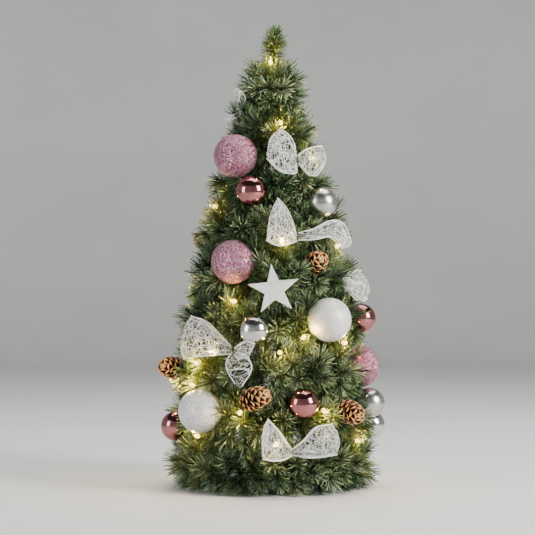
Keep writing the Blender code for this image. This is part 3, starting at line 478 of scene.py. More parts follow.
def tip_mesh(seed, stem, count, length=NEEDLE_LENGTH, splay=(62, 30), start=0.05):
    """A bottle-brush tip along Z: needles round a stem, leaning forwards more towards its end."""
    chance = np.random.default_rng(seed)
    shape = bmesh.new()
    tint = shape.verts.layers.float.new("tint")
    shape.verts.layers.float.new("along")
    kinds = [needle_mesh(length, NEEDLE_WIDTH, bend) for bend in (-0.10, 0.02, 0.12)]
    for index in range(count):
        share = (index + 0.5) / count
        turn = index * GOLDEN_TURN + chance.uniform(-0.35, 0.35)
        lean = splay[0] + (splay[1] - splay[0]) * share**1.6 + chance.uniform(-11, 11)
        if share > 0.93:
            lean *= 0.45
        spin = Matrix.Rotation(turn, 4, "Z") @ Matrix.Rotation(math.radians(lean), 4, "X")
        roll_over = Matrix.Rotation(chance.uniform(-0.6, 0.6), 4, "Z")
        size = Matrix.Scale(chance.uniform(0.80, 1.12), 4)
        lift = Matrix.Translation((0, 0, stem * (start + (1 - start) * share)))
        before = len(shape.verts)
        add_copy(shape, kinds[index % 3], lift @ spin @ roll_over @ size)
        shape.verts.ensure_lookup_table()
        value = chance.uniform(0, 1)
        for corner in shape.verts[before:]:
            corner[tint] = value
    for kind in kinds:
        bpy.data.meshes.remove(kind)
    return mesh_from(f"tip_{seed}", shape)


outer_tips = [tip_mesh(seed, 0.023 + 0.002 * (seed % 3), 68) for seed in range(8)]
outer_tips += [tip_mesh(10 + seed, 0.033 + 0.002 * seed, 84) for seed in range(3)]
small_tips = [tip_mesh(20 + seed, 0.017, 50, 0.018) for seed in range(4)]
print("tips:", len(outer_tips) + len(small_tips), "kinds,", len(outer_tips[0].polygons), "faces in the first")

# %% [markdown]
# A ring of garland carries its tips in six rows, which point from steeply up to steeply down. The steep
# ones are longer, and meet those of the next ring. Short needles fill the space round the core. Each
# tip's direction wanders, because the real ones are bent out by hand.


# %% Place the tips round the rings
def radial_frame(angle, elevation, spin):
    """A rotation that turns local Z outwards at an angle round the tree, raised by an elevation."""
    turn = math.radians(angle)
    outward = Vector((math.sin(turn), -math.cos(turn), 0))
    raised = outward * math.cos(elevation) + Vector((0, 0, math.sin(elevation)))
    return raised.to_track_quat("Z", "Y") @ Quaternion((0, 0, 1), spin)


def tier_tips(index):
    """Matrices and kinds of all the tips of one ring."""
    chance = np.random.default_rng(100 + index)
    height = tier_height(index)
    core = core_radius(height)
    placed = []
    rows = ((0.30, 1.0), (-0.32, 1.0), (0.92, 0.80), (-0.92, 0.80), (1.35, 0.82), (-1.35, 0.82))
    for row, (elevation, crowd) in enumerate(rows):
        lowest = -0.85 if index == 0 else -1.7
        count = max(5, round(2 * math.pi * (core + 0.024) * crowd / 0.033))
        for step in range(count):
            angle = 360 * (step + 0.33 * row + chance.uniform(-0.3, 0.3)) / count
            lift = elevation + chance.uniform(-0.42, 0.42)
            lift = max(lift, lowest + 0.2 * (lift - lowest))
            veer = math.degrees(chance.uniform(-0.60, 0.60))
            turned = radial_frame(angle + veer, lift, chance.uniform(0, 6.28))
            root = around(angle, core + 0.004, height + 0.006 * math.sin(elevation))
            size = chance.uniform(0.90, 1.08)
            matrix = Matrix.Translation(root) @ turned.to_matrix().to_4x4() @ Matrix.Scale(size, 4)
            short = row < 4 or (index, row) == (0, 5)
            kind = int(chance.integers(0, 8)) if short else int(chance.integers(8, 11))
            placed.append((matrix, kind, chance.uniform(0, 1)))
    return placed


def core_tips(index):
    """Small tips that stand every way round the core, and hide it."""
    chance = np.random.default_rng(200 + index)
    height = tier_height(index)
    core = core_radius(height)
    count = max(10, round(2 * math.pi * core / 0.0085))
    placed = []
    for step in range(count):
        angle = 360 * (step + chance.uniform(-0.3, 0.3)) / count
        lift = chance.uniform(-1.5, 1.5) if step % 2 else chance.uniform(1.3, 5.0)
        turned = radial_frame(angle + chance.uniform(-25, 25), lift, chance.uniform(0, 6.28))
        matrix = Matrix.Translation(around(angle, core - 0.002, height)) @ turned.to_matrix().to_4x4()
        placed.append((matrix, int(chance.integers(0, 4)), chance.uniform(0, 1)))
    return placed


def gather(name, placed, kinds):
    """One mesh with a copy of each placed tip, each with its own shade."""
    shape = bmesh.new()
    tint = shape.verts.layers.float.new("tint")
    shape.verts.layers.float.new("along")
    for matrix, kind, shade in placed:
        before = len(shape.verts)
        add_copy(shape, kinds[kind], matrix)
        shape.verts.ensure_lookup_table()
        for corner in shape.verts[before:]:
            corner[tint] = 0.55 * corner[tint] + 0.45 * shade
    return mesh_from(name, shape)


foliage = {}
for tier in range(TIER_COUNT):
    node_name = f"garland_tier_{tier + 1}"
    parts = [gather(node_name, tier_tips(tier), outer_tips), gather(node_name, core_tips(tier), small_tips)]
    foliage[node_name] = parts
print({name: sum(len(part.vertices) // NEEDLE_POINTS for part in parts) for name, parts in foliage.items()})


# %% The crown and the top sprig
def crown_tips():
    chance = np.random.default_rng(300)
    placed = []
    rows = (
        (0.540, 0.011, 10, -1.0),
        (0.547, 0.013, 11, -0.45),
        (0.554, 0.014, 14, 0.10),
        (0.561, 0.011, 12, 0.55),
        (0.568, 0.006, 9, 0.95),
    )
    for row, (height, ring, count, lift) in enumerate(rows):
        for step in range(count):
            angle = 360 * (step + 0.5 * row + chance.uniform(-0.3, 0.3)) / count
            turned = radial_frame(angle, lift + chance.uniform(-0.25, 0.25), chance.uniform(0, 6.28))
            place = Matrix.Translation(around(angle, ring, height)) @ turned.to_matrix().to_4x4()
            size = Matrix.Scale(chance.uniform(0.92, 1.10), 4)
            placed.append((place @ size, int(chance.integers(0, 8)), chance.uniform(0, 1)))
    for step in range(12):
        turned = radial_frame(360 * step / 12, chance.uniform(-1.2, 1.2), chance.uniform(0, 6.28))
        root = around(360 * step / 12, 0.004, 0.535 + 0.004 * step)
        place = Matrix.Translation(root) @ turned.to_matrix().to_4x4()
        placed.append((place @ Matrix.Scale(0.7, 4), int(chance.integers(0, 8)), chance.uniform(0, 1)))
    return placed


foliage["crown_spray"] = [gather("crown_spray", crown_tips(), outer_tips)]
sprig_tips = [
    tip_mesh(77, 0.050, 560, 0.0195, splay=(90, 74), start=0.0),
    tip_mesh(78, 0.014, 330, 0.0190, splay=(88, 26)),
]
SPRIG_FOOT, SPRIG_LEAN = 0.5840, 4.5
sprig_root = Matrix.Translation((0, 0, SPRIG_FOOT)) @ Matrix.Rotation(math.radians(SPRIG_LEAN), 4, "Y")
sprig_places = [(sprig_root, 0, 0.62), (sprig_root @ Matrix.Translation((0, 0, 0.0350)), 1, 0.66)]
foliage["top_sprig"] = [gather("top_sprig", sprig_places, sprig_tips)]
print("crown:", len(foliage["crown_spray"][0].vertices) // NEEDLE_POINTS, "needles")

# %% [markdown]
# Needles give way to what nestles among them. A needle that would start inside a ball or a cone is left
# out, and so are most of those that would stand in front of a bow, the star or a lamp. Only the bows'
# knots stay tucked in. A needle that would just brush a ball is pressed round it. The same step keeps
# the lowest needles off the floor.


# %% Clear the needles round the decorations
flat_nodes = bow_names + ["star"]
flat_trees = {}
for flat_name in flat_nodes:
    flat_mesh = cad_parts[flat_name].data
    corners = [vertex.co for vertex in flat_mesh.vertices]
    flat_trees[flat_name] = BVHTree.FromPolygons(corners, [face.vertices[:] for face in flat_mesh.polygons])
flat_boxes = {name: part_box(name) for name in flat_nodes}
bow_knots = {
    "bow_1": (30.0, 0.4590), "bow_2": (20.0, 0.3500), "bow_3": (66.0, 0.2860),
    "bow_4": (-24.5, 0.1990), "bow_5": (11.0, 0.0620), "bow_6": (-72.0, 0.5300),
}
KNOT_COVER = 0.020
SOLID_GAP = 0.0006
SIGHT_DEPTH = 0.045
FLAT_KEPT_OUT = 0.93
LAMP_KEPT_OUT = 0.85
LIT_START, LIT_FADE = 0.003, 0.0080
FLAT_SPAN = 0.085
LAMP_CLEAR, LAMP_SIGHT = 0.0045, 0.05
FLOOR_GAP, FLOOR_ZONE, FLOOR_PRESS = 0.0012, 0.004, 0.315
tucked = [around(angle, reach(height), height) for angle, height in bow_knots.values()]
solids = [(centre, radius + SOLID_GAP) for centre, _, radius in balls.values()]
for stem_end, tip_end in cones.values():
    for share, size in ((0.3, 0.0165), (0.55, 0.016), (0.8, 0.011)):
        solids.append((stem_end.lerp(tip_end, share), size))


def in_front_of_flat(point):
    """Whether a point stands in front of a bow or the star, but not of a knot, seen from outside."""
    if any((point - knot).length < KNOT_COVER for knot in tucked):
        return False
    inward = Vector((-point.x, -point.y, 0)).normalized()
    for name, tree in flat_trees.items():
        low, high = flat_boxes[name]
        level = low.z - 0.004 < point.z < high.z + 0.004
        if not level or (low.lerp(high, 0.5) - point).length >= FLAT_SPAN:
            continue
        if tree.ray_cast(point, inward, SIGHT_DEPTH)[0] is not None:
            return True
    return False


def clear_needles(mesh, seed):
    """Drops and bends needles, and stores how strongly the lamps light each point."""
    chance = np.random.default_rng(seed)
    points = np.empty(len(mesh.vertices) * 3)
    mesh.vertices.foreach_get("co", points)
    points = points.reshape(-1, NEEDLE_POINTS, 3)
    rows = points.reshape(-1, 3, 3, 3).mean(axis=2)
    drop = np.zeros(len(points), bool)
    for centre, radius in solids:
        gap = np.linalg.norm(rows - np.array(centre), axis=2)
        drop |= gap[:, 0] < radius
        drop |= (gap[:, 2] < radius * 0.80) | (gap[:, 1] < radius * 0.80)
    for lamp, outward in lamps:
        offset = rows - np.array(lamp)
        depth = offset @ np.array(outward)
        side = np.linalg.norm(offset - depth[..., None] * np.array(outward), axis=2)
        blocks = ((depth > -0.004) & (side < LAMP_CLEAR + 0.12 * np.maximum(depth, 0))).any(axis=1)
        drop |= blocks & (depth.max(axis=1) < LAMP_SIGHT) & (chance.random(len(points)) < LAMP_KEPT_OUT)
    for index in np.flatnonzero(~drop):
        tip, middle = Vector(rows[index, 2]), Vector(rows[index, 1])
        if in_front_of_flat(tip) or in_front_of_flat(middle):
            drop[index] = chance.random() < FLAT_KEPT_OUT
    for centre, radius in solids:
        offset = points - np.array(centre)
        gap = np.linalg.norm(offset, axis=2, keepdims=True)
        points = np.where(gap < radius, np.array(centre) + offset / gap * (radius + 0.0004), points)
    heights = points[..., 2]
    pressed = FLOOR_GAP + FLOOR_PRESS * np.maximum(heights + FLOOR_ZONE, 0)
    points[..., 2] = np.where(heights < FLOOR_ZONE, pressed, heights)
    lit = np.zeros(points.shape[:2])
    for lamp, outward in lamps:
        gap = np.linalg.norm(points - np.array(lamp + outward * 0.002), axis=2)
        lit += np.exp(-np.maximum(gap - LIT_START, 0) / LIT_FADE)
    mesh.vertices.foreach_set("co", points.reshape(-1))
    glow = mesh.attributes.new("lit", "FLOAT", "POINT")
    glow.data.foreach_set("value", np.clip(lit, 0, 1).reshape(-1).astype(np.float32))
    shape = bmesh.new()
    shape.from_mesh(mesh)
    shape.verts.ensure_lookup_table()
    doomed = [corner for corner, gone in zip(shape.verts, np.repeat(drop, NEEDLE_POINTS)) if gone]
    bmesh.ops.delete(shape, geom=doomed, context="VERTS")
    shape.to_mesh(mesh)
    shape.free()
    return int(drop.sum())


dropped = 0
for seed, (node_name, parts) in enumerate(foliage.items()):
    for offset, part in enumerate(parts):
        dropped += clear_needles(part, 1000 + 10 * seed + offset)
left = sum(len(part.vertices) // NEEDLE_POINTS for parts in foliage.values() for part in parts)
print(dropped, "needles left out,", left, "left")

# %% [markdown]
# ### The needles' finish
#
# The film is dyed in greens that run from a dark bluish one to a pale olive one, and every needle has a
# place of its own on that scale. Its faces are smooth enough to catch pale streaks of light. Each needle
# carries painted shade towards its wire, where the others shade it, and painted light towards its tip.
# Close to a lamp the needles carry the lamp's light as a painted yellow-green glow: the attribute from
# the step above drives a weak emission, so that the glow stays with the model.

# %% Needle finish
film, film_shader, film_tree = new_finish("needle film", (0.06, 0.13, 0.06), 0.38)
tint = node(film_tree, "ShaderNodeAttribute", attribute_name="tint").outputs["Fac"]
along = node(film_tree, "ShaderNodeAttribute", attribute_name="along").outputs["Fac"]
lit = node(film_tree, "ShaderNodeAttribute", attribute_name="lit").outputs["Fac"]
greens = ramp(
    film_tree,
    tint,
    [
        (0.12, (0.010, 0.032, 0.015)),
        (0.42, (0.038, 0.085, 0.032)),
        (0.64, (0.11, 0.18, 0.07)),
        (0.84, (0.42, 0.50, 0.30)),
    ],
)
# Painted shade and light along each needle: darker towards its wire, where the others shade it, and brighter
# than its green towards its tip.
needle_painted_shade_stops = [(0.0, (0.02, 0.02, 0.02)), (0.45, (0.38, 0.38, 0.36)), (1.0, (1.45, 1.45, 1.32))]
shade = ramp(film_tree, along, needle_painted_shade_stops)
needles_with_painted_shade = mixed(film_tree, 1.0, greens, shade, "MULTIPLY")
mottle = ramp(film_tree, noise(film_tree, 260.0, 2.0), [(0.3, (0.82, 0.82, 0.82)), (0.7, (1.15, 1.15, 1.1))])
film_colour = mixed(film_tree, 1.0, needles_with_painted_shade, mottle, "MULTIPLY")
film_tree.links.new(film_colour, film_shader.inputs["Base Color"])
film_tree.links.new(ramp_value(film_tree, tint, 0, 1, 0.25, 0.42), film_shader.inputs["Roughness"])
# Painted lamp light: needles near a lamp emit a weak yellow-green glow, strongest closest to it.
painted_lamp_glow = ramp(
    film_tree,
    lit,
    [(0.0, (0, 0, 0)), (0.30, (0.05, 0.042, 0.001)), (0.70, (0.62, 0.47, 0.012)), (1.0, (1.5, 1.15, 0.05))],
)
film_tree.links.new(painted_lamp_glow, film_shader.inputs["Emission Color"])
film_shader.inputs["Emission Strength"].default_value = 1.9
film_shader.inputs["Specular IOR Level"].default_value = 0.6
print("needle film:", len(film_tree.nodes), "nodes")

# %% Put the foliage in place
for node_name, parts in foliage.items():
    for suffix, part in zip(("tips", "core"), parts):
        part.materials.append(film)
        piece = add_object(f"{node_name}.{suffix}", part)
        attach(piece, "tree")
        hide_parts(node_name)
        triangles = sum(len(face.vertices) - 2 for face in part.polygons)
        print(piece.name, triangles, "triangles")

# %% [markdown]
# ## Garland wires
#
# Each ring's core is two wires twisted together, which grip the needles, and every tip has a thin stem
# of its own. They show in the gaps and from below. The twist is two helices round the ring's line, made
# as curves with a round bevel and turned into one mesh.

# %% Twisted wires
wire_green, wire_green_shader, wire_green_tree = new_finish("lacquered wire", (0.05, 0.06, 0.03), 0.42, 0.6)
wire_tone = ramp(
    wire_green_tree,
    noise(wire_green_tree, 180.0, 3.0),
    [(0.35, (0.028, 0.040, 0.020)), (0.62, (0.060, 0.070, 0.035)), (0.72, (0.16, 0.15, 0.12))],
)
wire_green_tree.links.new(wire_tone, wire_green_shader.inputs["Base Color"])
bump(wire_green_tree, wire_green_shader, noise(wire_green_tree, 900.0), 0.25, 0.0002)


def twisted(points, pitch, offset, closed=False):
    """Two strands twisted round a line, as lists of points."""
    line = [Vector(point) for point in points]
    strands = ([], [])
    length = 0.0
    for index, point in enumerate(line):
        before = line[index - 1] if index or closed else line[0]
        after = line[(index + 1) % len(line)] if index + 1 < len(line) or closed else line[-1]
        forward = (after - before).normalized()
        side = forward.cross(Vector((0, 0, 1)) if abs(forward.z) < 0.9 else Vector((1, 0, 0))).normalized()
        other = forward.cross(side)
        turn = 2 * math.pi * length / pitch
        swing = (side * math.cos(turn) + other * math.sin(turn)) * offset
        strands[0].append(point + swing)
        strands[1].append(point - swing)
        length += (after - point).length
    return strands


for tier in range(TIER_COUNT):
    height, core = tier_height(tier), core_radius(tier_height(tier))
    twists = round(2 * math.pi * core / 0.007)
    ring = [around(360 * step / (8 * twists), core, height) for step in range(8 * twists)]
    strands = twisted(ring, 2 * math.pi * core / twists, 0.0007, closed=True)
    piece = tube(f"garland_core_{tier + 1}", strands, 0.00065, wire_green, 0, cyclic=True)
    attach(piece, "tree")
stem_lines = []
for tier in range(TIER_COUNT):
    for matrix, _, _ in tier_tips(tier):
        base, end = matrix @ Vector((0, 0, -0.004)), matrix @ Vector((0, 0, 0.024))
        if all((end.lerp(base, 0.4) - centre).length > radius for centre, radius in solids):
            stem_lines.append([base, base.lerp(end, 0.5), end])
stems = tube("branch_stems", stem_lines, 0.0008, wire_green, 0)
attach(stems, "tree")
print(len(stem_lines), "stems")

# %% [markdown]
# ## Shared effects
#
# Several finishes use the same two effects, so each is a node group, built once. Glitter is a layer of
# flat flakes, and each flake leans its own way: the height inside a Voronoi cell is a ramp in a random
# direction, which a Bump node turns into a tilted mirror. Grain is the fine unevenness of moulded
# plastic, rubber and lacquer.


# %% Flakes and grain
def start_group(name, inputs, outputs):
    """A shader node group with named sockets, and its inlet and outlet."""
    group = bpy.data.node_groups.new(name, "ShaderNodeTree")
    for socket, kind in inputs:
        group.interface.new_socket(socket, in_out="INPUT", socket_type=kind)
    for socket, kind in outputs:
        group.interface.new_socket(socket, in_out="OUTPUT", socket_type=kind)
    return group, group.nodes.new("NodeGroupInput"), group.nodes.new("NodeGroupOutput")


FLOAT, VECTOR, COLOUR = "NodeSocketFloat", "NodeSocketVector", "NodeSocketColor"


def make_flakes():
    group, inlet, outlet = start_group(
        "glitter flakes",
        [("Place", VECTOR), ("Flakes", FLOAT), ("Tilt", FLOAT)],
        [("Shade", FLOAT), ("Height", FLOAT)],
    )
    links = group.links
    cells = node(group, "ShaderNodeTexVoronoi")
    links.new(inlet.outputs["Place"], cells.inputs["Vector"])
    links.new(inlet.outputs["Flakes"], cells.inputs["Scale"])
    place, shades = inlet.outputs["Place"], cells.outputs["Color"]
    away = maths(group, "ShaderNodeVectorMath", "SUBTRACT", place, cells.outputs["Position"])["Vector"]
    lean = maths(group, "ShaderNodeVectorMath", "SUBTRACT", shades, (0.5, 0.5, 0.5))["Vector"]
    slope = maths(group, "ShaderNodeVectorMath", "DOT_PRODUCT", away, lean)["Value"]
    height = maths(group, "ShaderNodeMath", "MULTIPLY", slope, inlet.outputs["Tilt"])["Value"]
    links.new(height, outlet.inputs["Height"])
    split = node(group, "ShaderNodeSeparateColor")
    links.new(shades, split.inputs["Color"])
    links.new(split.outputs["Red"], outlet.inputs["Shade"])
    return group


def make_grain():
    group, inlet, outlet = start_group(
        "moulded grain",
        [("Place", VECTOR), ("Colour", COLOUR), ("Fineness", FLOAT)],
        [("Colour", COLOUR), ("Roughness", FLOAT), ("Height", FLOAT)],
    )
    fine = node(group, "ShaderNodeTexNoise", Detail=4.0, Roughness=0.6)
    group.links.new(inlet.outputs["Place"], fine.inputs["Vector"])
    group.links.new(inlet.outputs["Fineness"], fine.inputs["Scale"])
    broad = noise(group, 45.0, 3.0, 0.6, inlet.outputs["Place"])
    tone = ramp(group, broad, [(0.3, (0.72, 0.72, 0.72)), (0.7, (1.2, 1.2, 1.2))])
    group.links.new(mixed(group, 1.0, inlet.outputs["Colour"], tone, "MULTIPLY"), outlet.inputs["Colour"])
    group.links.new(ramp_value(group, broad, 0.3, 0.7, 0.36, 0.58), outlet.inputs["Roughness"])
    group.links.new(fine.outputs["Fac"], outlet.inputs["Height"])
    return group


flakes_group, grain_group = make_flakes(), make_grain()


def use_group(tree, group, **values):
    """A placed node group that reads Object coordinates."""
    made = tree.nodes.new("ShaderNodeGroup")
    made.node_tree = group
    for key, value in values.items():
        made.inputs[key].default_value = (*value, 1) if isinstance(value, tuple) else value
    tree.links.new(object_place(tree), made.inputs["Place"])
    return made


def grained(name, colour, fineness, depth, metallic=0.0):
    """A moulded or lacquered finish."""
    made, shader, tree = new_finish(name, colour, 0.5, metallic)
    grain = use_group(tree, grain_group, Colour=colour, Fineness=fineness)
    tree.links.new(grain.outputs["Colour"], shader.inputs["Base Color"])
    tree.links.new(grain.outputs["Roughness"], shader.inputs["Roughness"])
    bump(tree, shader, grain.outputs["Height"], 0.5, depth)
    return made


print("groups:", flakes_group.name, "and", grain_group.name)

# %% [markdown]
# ## Balls
#
# The balls are blown plastic. The large rose ones are coated in glitter, the large pale ones are pearly
# or frosted, and the small ones are mirror-bright or satin metal. Each has a pressed metal cap with
# fluted sides, and a wire loop. The ball is a sphere from an operator, and the cap is a profile spun
# round Z whose alternate corners are drawn in for the flutes.


# %% Ball finishes
def glitter_finish(name, shades, flakes, tilt, metallic, roughness):
    """A glitter coat. Each flake takes a shade and a tilt of its own."""
    made, shader, tree = new_finish(name, shades[0][1], roughness, metallic)
    coat = use_group(tree, flakes_group, Flakes=flakes, Tilt=tilt)
    flecks = ramp(tree, coat.outputs["Shade"], shades)
    cloud = ramp(tree, noise(tree, 30.0, 3.0), [(0.3, (0.86, 0.86, 0.86)), (0.7, (1.1, 1.1, 1.1))])
    tree.links.new(mixed(tree, 1.0, flecks, cloud, "MULTIPLY"), shader.inputs["Base Color"])
    gloss = ramp_value(tree, coat.outputs["Shade"], 0, 1, roughness + 0.1, roughness - 0.08)
    tree.links.new(gloss, shader.inputs["Roughness"])
    bump(tree, shader, coat.outputs["Height"], 1.0, 1.0)
    return made


def mirror_finish(name, colour, low, high):
    """Metal on plastic. Its roughness drifts, so that it doesn't mirror like glass."""
    made, shader, tree = new_finish(name, colour, low, 1.0)
    cloud = noise(tree, 55.0, 4.0, 0.6)
    tree.links.new(ramp_value(tree, cloud, 0.3, 0.7, low, high), shader.inputs["Roughness"])
    dark = tuple(0.86 * part for part in colour)
    tree.links.new(ramp(tree, cloud, [(0.35, dark), (0.65, colour)]), shader.inputs["Base Color"])
    bump(tree, shader, noise(tree, 38.0, 2.0), 0.10, 0.0012)
    return made


rose_glitter = glitter_finish(
    "rose glitter",
    [
        (0.0, (0.09, 0.018, 0.034)),
        (0.45, (0.27, 0.070, 0.125)),
        (0.82, (0.62, 0.25, 0.37)),
        (1.0, (1.0, 0.90, 0.95)),
    ],
    1000.0, 0.95, 0.55, 0.33,
)
pearl = glitter_finish(
    "pearl with fine sparkle",
    [(0.0, (0.62, 0.60, 0.57)), (0.7, (0.74, 0.72, 0.69)), (1.0, (0.92, 0.91, 0.88))],
    1500.0, 0.22, 0.15, 0.36,
)
frosted = glitter_finish(
    "frosted white",
    [(0.0, (0.40, 0.40, 0.41)), (0.45, (0.72, 0.71, 0.71)), (1.0, (1.0, 1.0, 1.0))],
    900.0, 0.7, 0.35, 0.34,
)
rose_mirror = mirror_finish("rose mirror", (0.42, 0.165, 0.165), 0.07, 0.14)
silver_mirror = mirror_finish("silver mirror", (0.64, 0.64, 0.62), 0.12, 0.20)
silver_satin = mirror_finish("silver satin", (0.52, 0.53, 0.49), 0.22, 0.32)
cap_metal = mirror_finish("pressed cap", (0.72, 0.70, 0.66), 0.22, 0.40)
print("ball finishes ready")


# %% Ball and cap shapes
def ball_shape(radius):
    shape = bmesh.new()
    bmesh.ops.create_uvsphere(shape, u_segments=56, v_segments=36, radius=radius)
    return shape


def cap_shape(radius):
    """A pressed cap below a ball, with fluted sides."""
    low = -radius - 0.0050
    profile = [(0.0, low), (0.0030, low), (0.0042, low + 0.0004), (0.0048, low + 0.0012)]
    profile += [(0.0052, low + 0.0040), (0.0056, low + 0.0062)]
    profile += [(0.0053, low + 0.0063), (0.0048, low + 0.0045)]
    shape = spun(profile, 40)
    for corner in shape.verts:
        distance = Vector((corner.co.x, corner.co.y)).length
        step = round(math.degrees(math.atan2(corner.co.y, corner.co.x)) / 9)
        if distance > 0.0044 and step % 2:
            corner.co.x *= 0.94
            corner.co.y *= 0.94
    return shape


LOOP_RADIUS = 0.0026
ball_finishes = {
    "ball_large_1": (rose_glitter, "rose_glitter"),
    "ball_large_2": (rose_glitter, "rose_glitter"),
    "ball_large_5": (rose_glitter, "rose_glitter"),
    "ball_large_3": (pearl, "pearl"),
    "ball_large_4": (frosted, "pearl"),
    "ball_large_6": (frosted, "pearl"),
}
for name in small_names:
    silver = name[-1] in "2378"
    finish = (silver_satin if name[-1] in "27" else silver_mirror) if silver else rose_mirror
    ball_finishes[name] = (finish, "silver_shine" if silver else "rose_shine")
for name, (centre, outward, radius) in balls.items():
    finish, slot_name = ball_finishes[name]
    place = aimed(outward, centre)
    body = ball_shape(radius)
    body.transform(place)
    piece = mesh_object(name + ".shell", body, finish, smooth=True)
    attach(piece, "tree")
    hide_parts(name)
    cap = cap_shape(radius)
    cap.transform(place)
    piece = mesh_object(name + ".cap", cap, cap_metal)
    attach(piece, "tree")
    loop = []
    for turn in np.linspace(0, 6.28, 17)[:-1]:
        across, up = LOOP_RADIUS * math.cos(turn), LOOP_RADIUS * math.sin(turn)
        loop.append(place @ Vector((across, 0, -radius - 0.0068 + up)))
    piece = tube(name + ".loop", [loop], 0.0004, cap_metal, 1, cyclic=True)
    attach(piece, "tree")
print(len(balls), "balls with caps and loops")

# %% [markdown]
# ## Pine cones
#
# A pine cone's scales stand in spirals, each a golden angle on from the last. One scale is a small
# sphere drawn out into a tongue: narrow and thin at its root, broad and thick at its end. Sixty-six
# copies round a core make a cone. An attribute stores how far along its scale each point is, which the
# finish uses for painted shade near black at the roots, where the scales overlap, and for the pale ends,
# which are partly the scales' own lighter colour and partly a painted highlight.


# %% One scale
def scale_mesh():
    """A scale along Z, 1 long, with its thick end at the top."""
    shape = bmesh.new()
    edge = shape.verts.layers.float.new("edge")
    bmesh.ops.create_uvsphere(shape, u_segments=8, v_segments=7, radius=1.0)
    for corner in shape.verts:
        share = (corner.co.z + 1) / 2
        corner[edge] = share
        wide = 0.30 + 0.70 * share**0.8
        corner.co.x *= 0.44 * wide
        corner.co.y *= 0.055 + 0.10 * share**2
        corner.co.z = share
        corner.co.y += 0.16 * share**2 + 0.10 * (1 - min(1, abs(corner.co.x) / 0.4)) * share
    return mesh_from("scale", shape)


one_scale = scale_mesh()
bark, bark_shader, bark_tree = new_finish("cone scales", (0.16, 0.07, 0.03), 0.22)
edge_share = node(bark_tree, "ShaderNodeAttribute", attribute_name="edge").outputs["Fac"]
# Painted shade near black towards each scale's root, where the next scales cover it; the pale orange ends are
# partly the scale's own colour and partly a painted highlight.
bark_tone_shade_and_highlight = ramp(
    bark_tree,
    edge_share,
    [
        (0.0, (0.010, 0.004, 0.002)),
        (0.68, (0.042, 0.012, 0.005)),
        (0.89, (0.17, 0.055, 0.016)),
        (1.0, (0.90, 0.48, 0.17)),
    ],
)
bark_stops = [(0.3, (0.60, 0.58, 0.55)), (0.7, (1.25, 1.22, 1.2))]
bark_noise = ramp(bark_tree, noise(bark_tree, 420.0, 4.0, 0.7), bark_stops)
bark_colour = mixed(bark_tree, 1.0, bark_tone_shade_and_highlight, bark_noise, "MULTIPLY")
bark_tree.links.new(bark_colour, bark_shader.inputs["Base Color"])
bark_shader.inputs["Coat Weight"].default_value = 0.5
bark_shader.inputs["Coat Roughness"].default_value = 0.12
bump(bark_tree, bark_shader, noise(bark_tree, 700.0, 4.0, 0.7), 0.5, 0.0006)
print("a scale has", len(one_scale.polygons), "faces")


# %% Grow the cones
SCALE_COUNT = 66
CONE_OPENNESS = (1.08, 0.92, 1.0, 1.12, 0.95)


def cone_shape(stem_end, tip_end, seed, openness):
    chance = np.random.default_rng(seed)
    length = (tip_end - stem_end).length
    shape = bmesh.new()
    shape.verts.layers.float.new("edge")
    bmesh.ops.create_cone(
        shape, segments=10, cap_ends=True, cap_tris=False, radius1=0.006, radius2=0.0015,
        depth=length * 0.86, matrix=Matrix.Translation((0, 0, length * 0.47)),
    )
    for index in range(SCALE_COUNT):
        share = index / (SCALE_COUNT - 1)
        height = length * (0.10 + 0.80 * share)
        envelope = 0.0185 * math.sqrt(max(0.0, 1 - ((share - 0.35) / 0.70) ** 2))
        root = 0.0050 * (1 - share)
        lean = math.radians(max(5, (100 - 94 * share**1.5) * openness + chance.uniform(-4, 4)))
        size = max(0.0070, (envelope - root) / max(0.62, math.sin(lean)))
        turn = Matrix.Rotation(index * GOLDEN_TURN + chance.uniform(-0.08, 0.08), 4, "Z")
        tilt = Matrix.Rotation(lean, 4, "X")
        place = Matrix.Translation((0, 0, height - 0.3 * size * math.cos(lean)))
        outset = Matrix.Translation((0, -root * 0.6, 0))
        add_copy(shape, one_scale, place @ turn @ outset @ tilt @ Matrix.Scale(size, 4))
    shape.transform(aimed(tip_end - stem_end, stem_end))
    return shape


for index, (name, (stem_end, tip_end)) in enumerate(cones.items()):
    grown = cone_shape(stem_end, tip_end, 40 + index, CONE_OPENNESS[index])
    bmesh.ops.recalc_face_normals(grown, faces=grown.faces)
    piece = mesh_object(name + ".scales", grown, bark, smooth=True)
    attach(piece, "tree")
    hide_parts(name)
    print(piece.name, len(piece.data.polygons), "faces")

# %% [markdown]
# ## Ribbon bows
#
# The bows are tied from ribbon about 45 mm wide, a web of white fibres laid every way between two wired
# edges. A loop is one length of ribbon that leaves the knot, widens as its pleats open, turns over and
# comes back behind itself. Its two edges as seen from outside are drawn as two lines in millimetres from
# the knot, and the sheet is a grid moved onto the surface between them, bowed outwards on the way out
# and inwards on the way back. The fibres are partly a pattern in the sheet's Alpha and partly real
# threads along its surface, and the edges are wire-thick cords.


# %% Lines of a bow
def along_line(points, share):
    """A point of a smooth curve through 2-D points, from 0 to 1."""
    place = min(share * (len(points) - 1), len(points) - 1.0001)
    index = int(place)
    t = place - index
    p1, p2 = Vector(points[index]), Vector(points[index + 1])
    p0 = Vector(points[index - 1]) if index else p1 * 2 - p2
    p3 = Vector(points[index + 2]) if index + 2 < len(points) else p2 * 2 - p1
    return between(p0, p1, p2, p3, t)


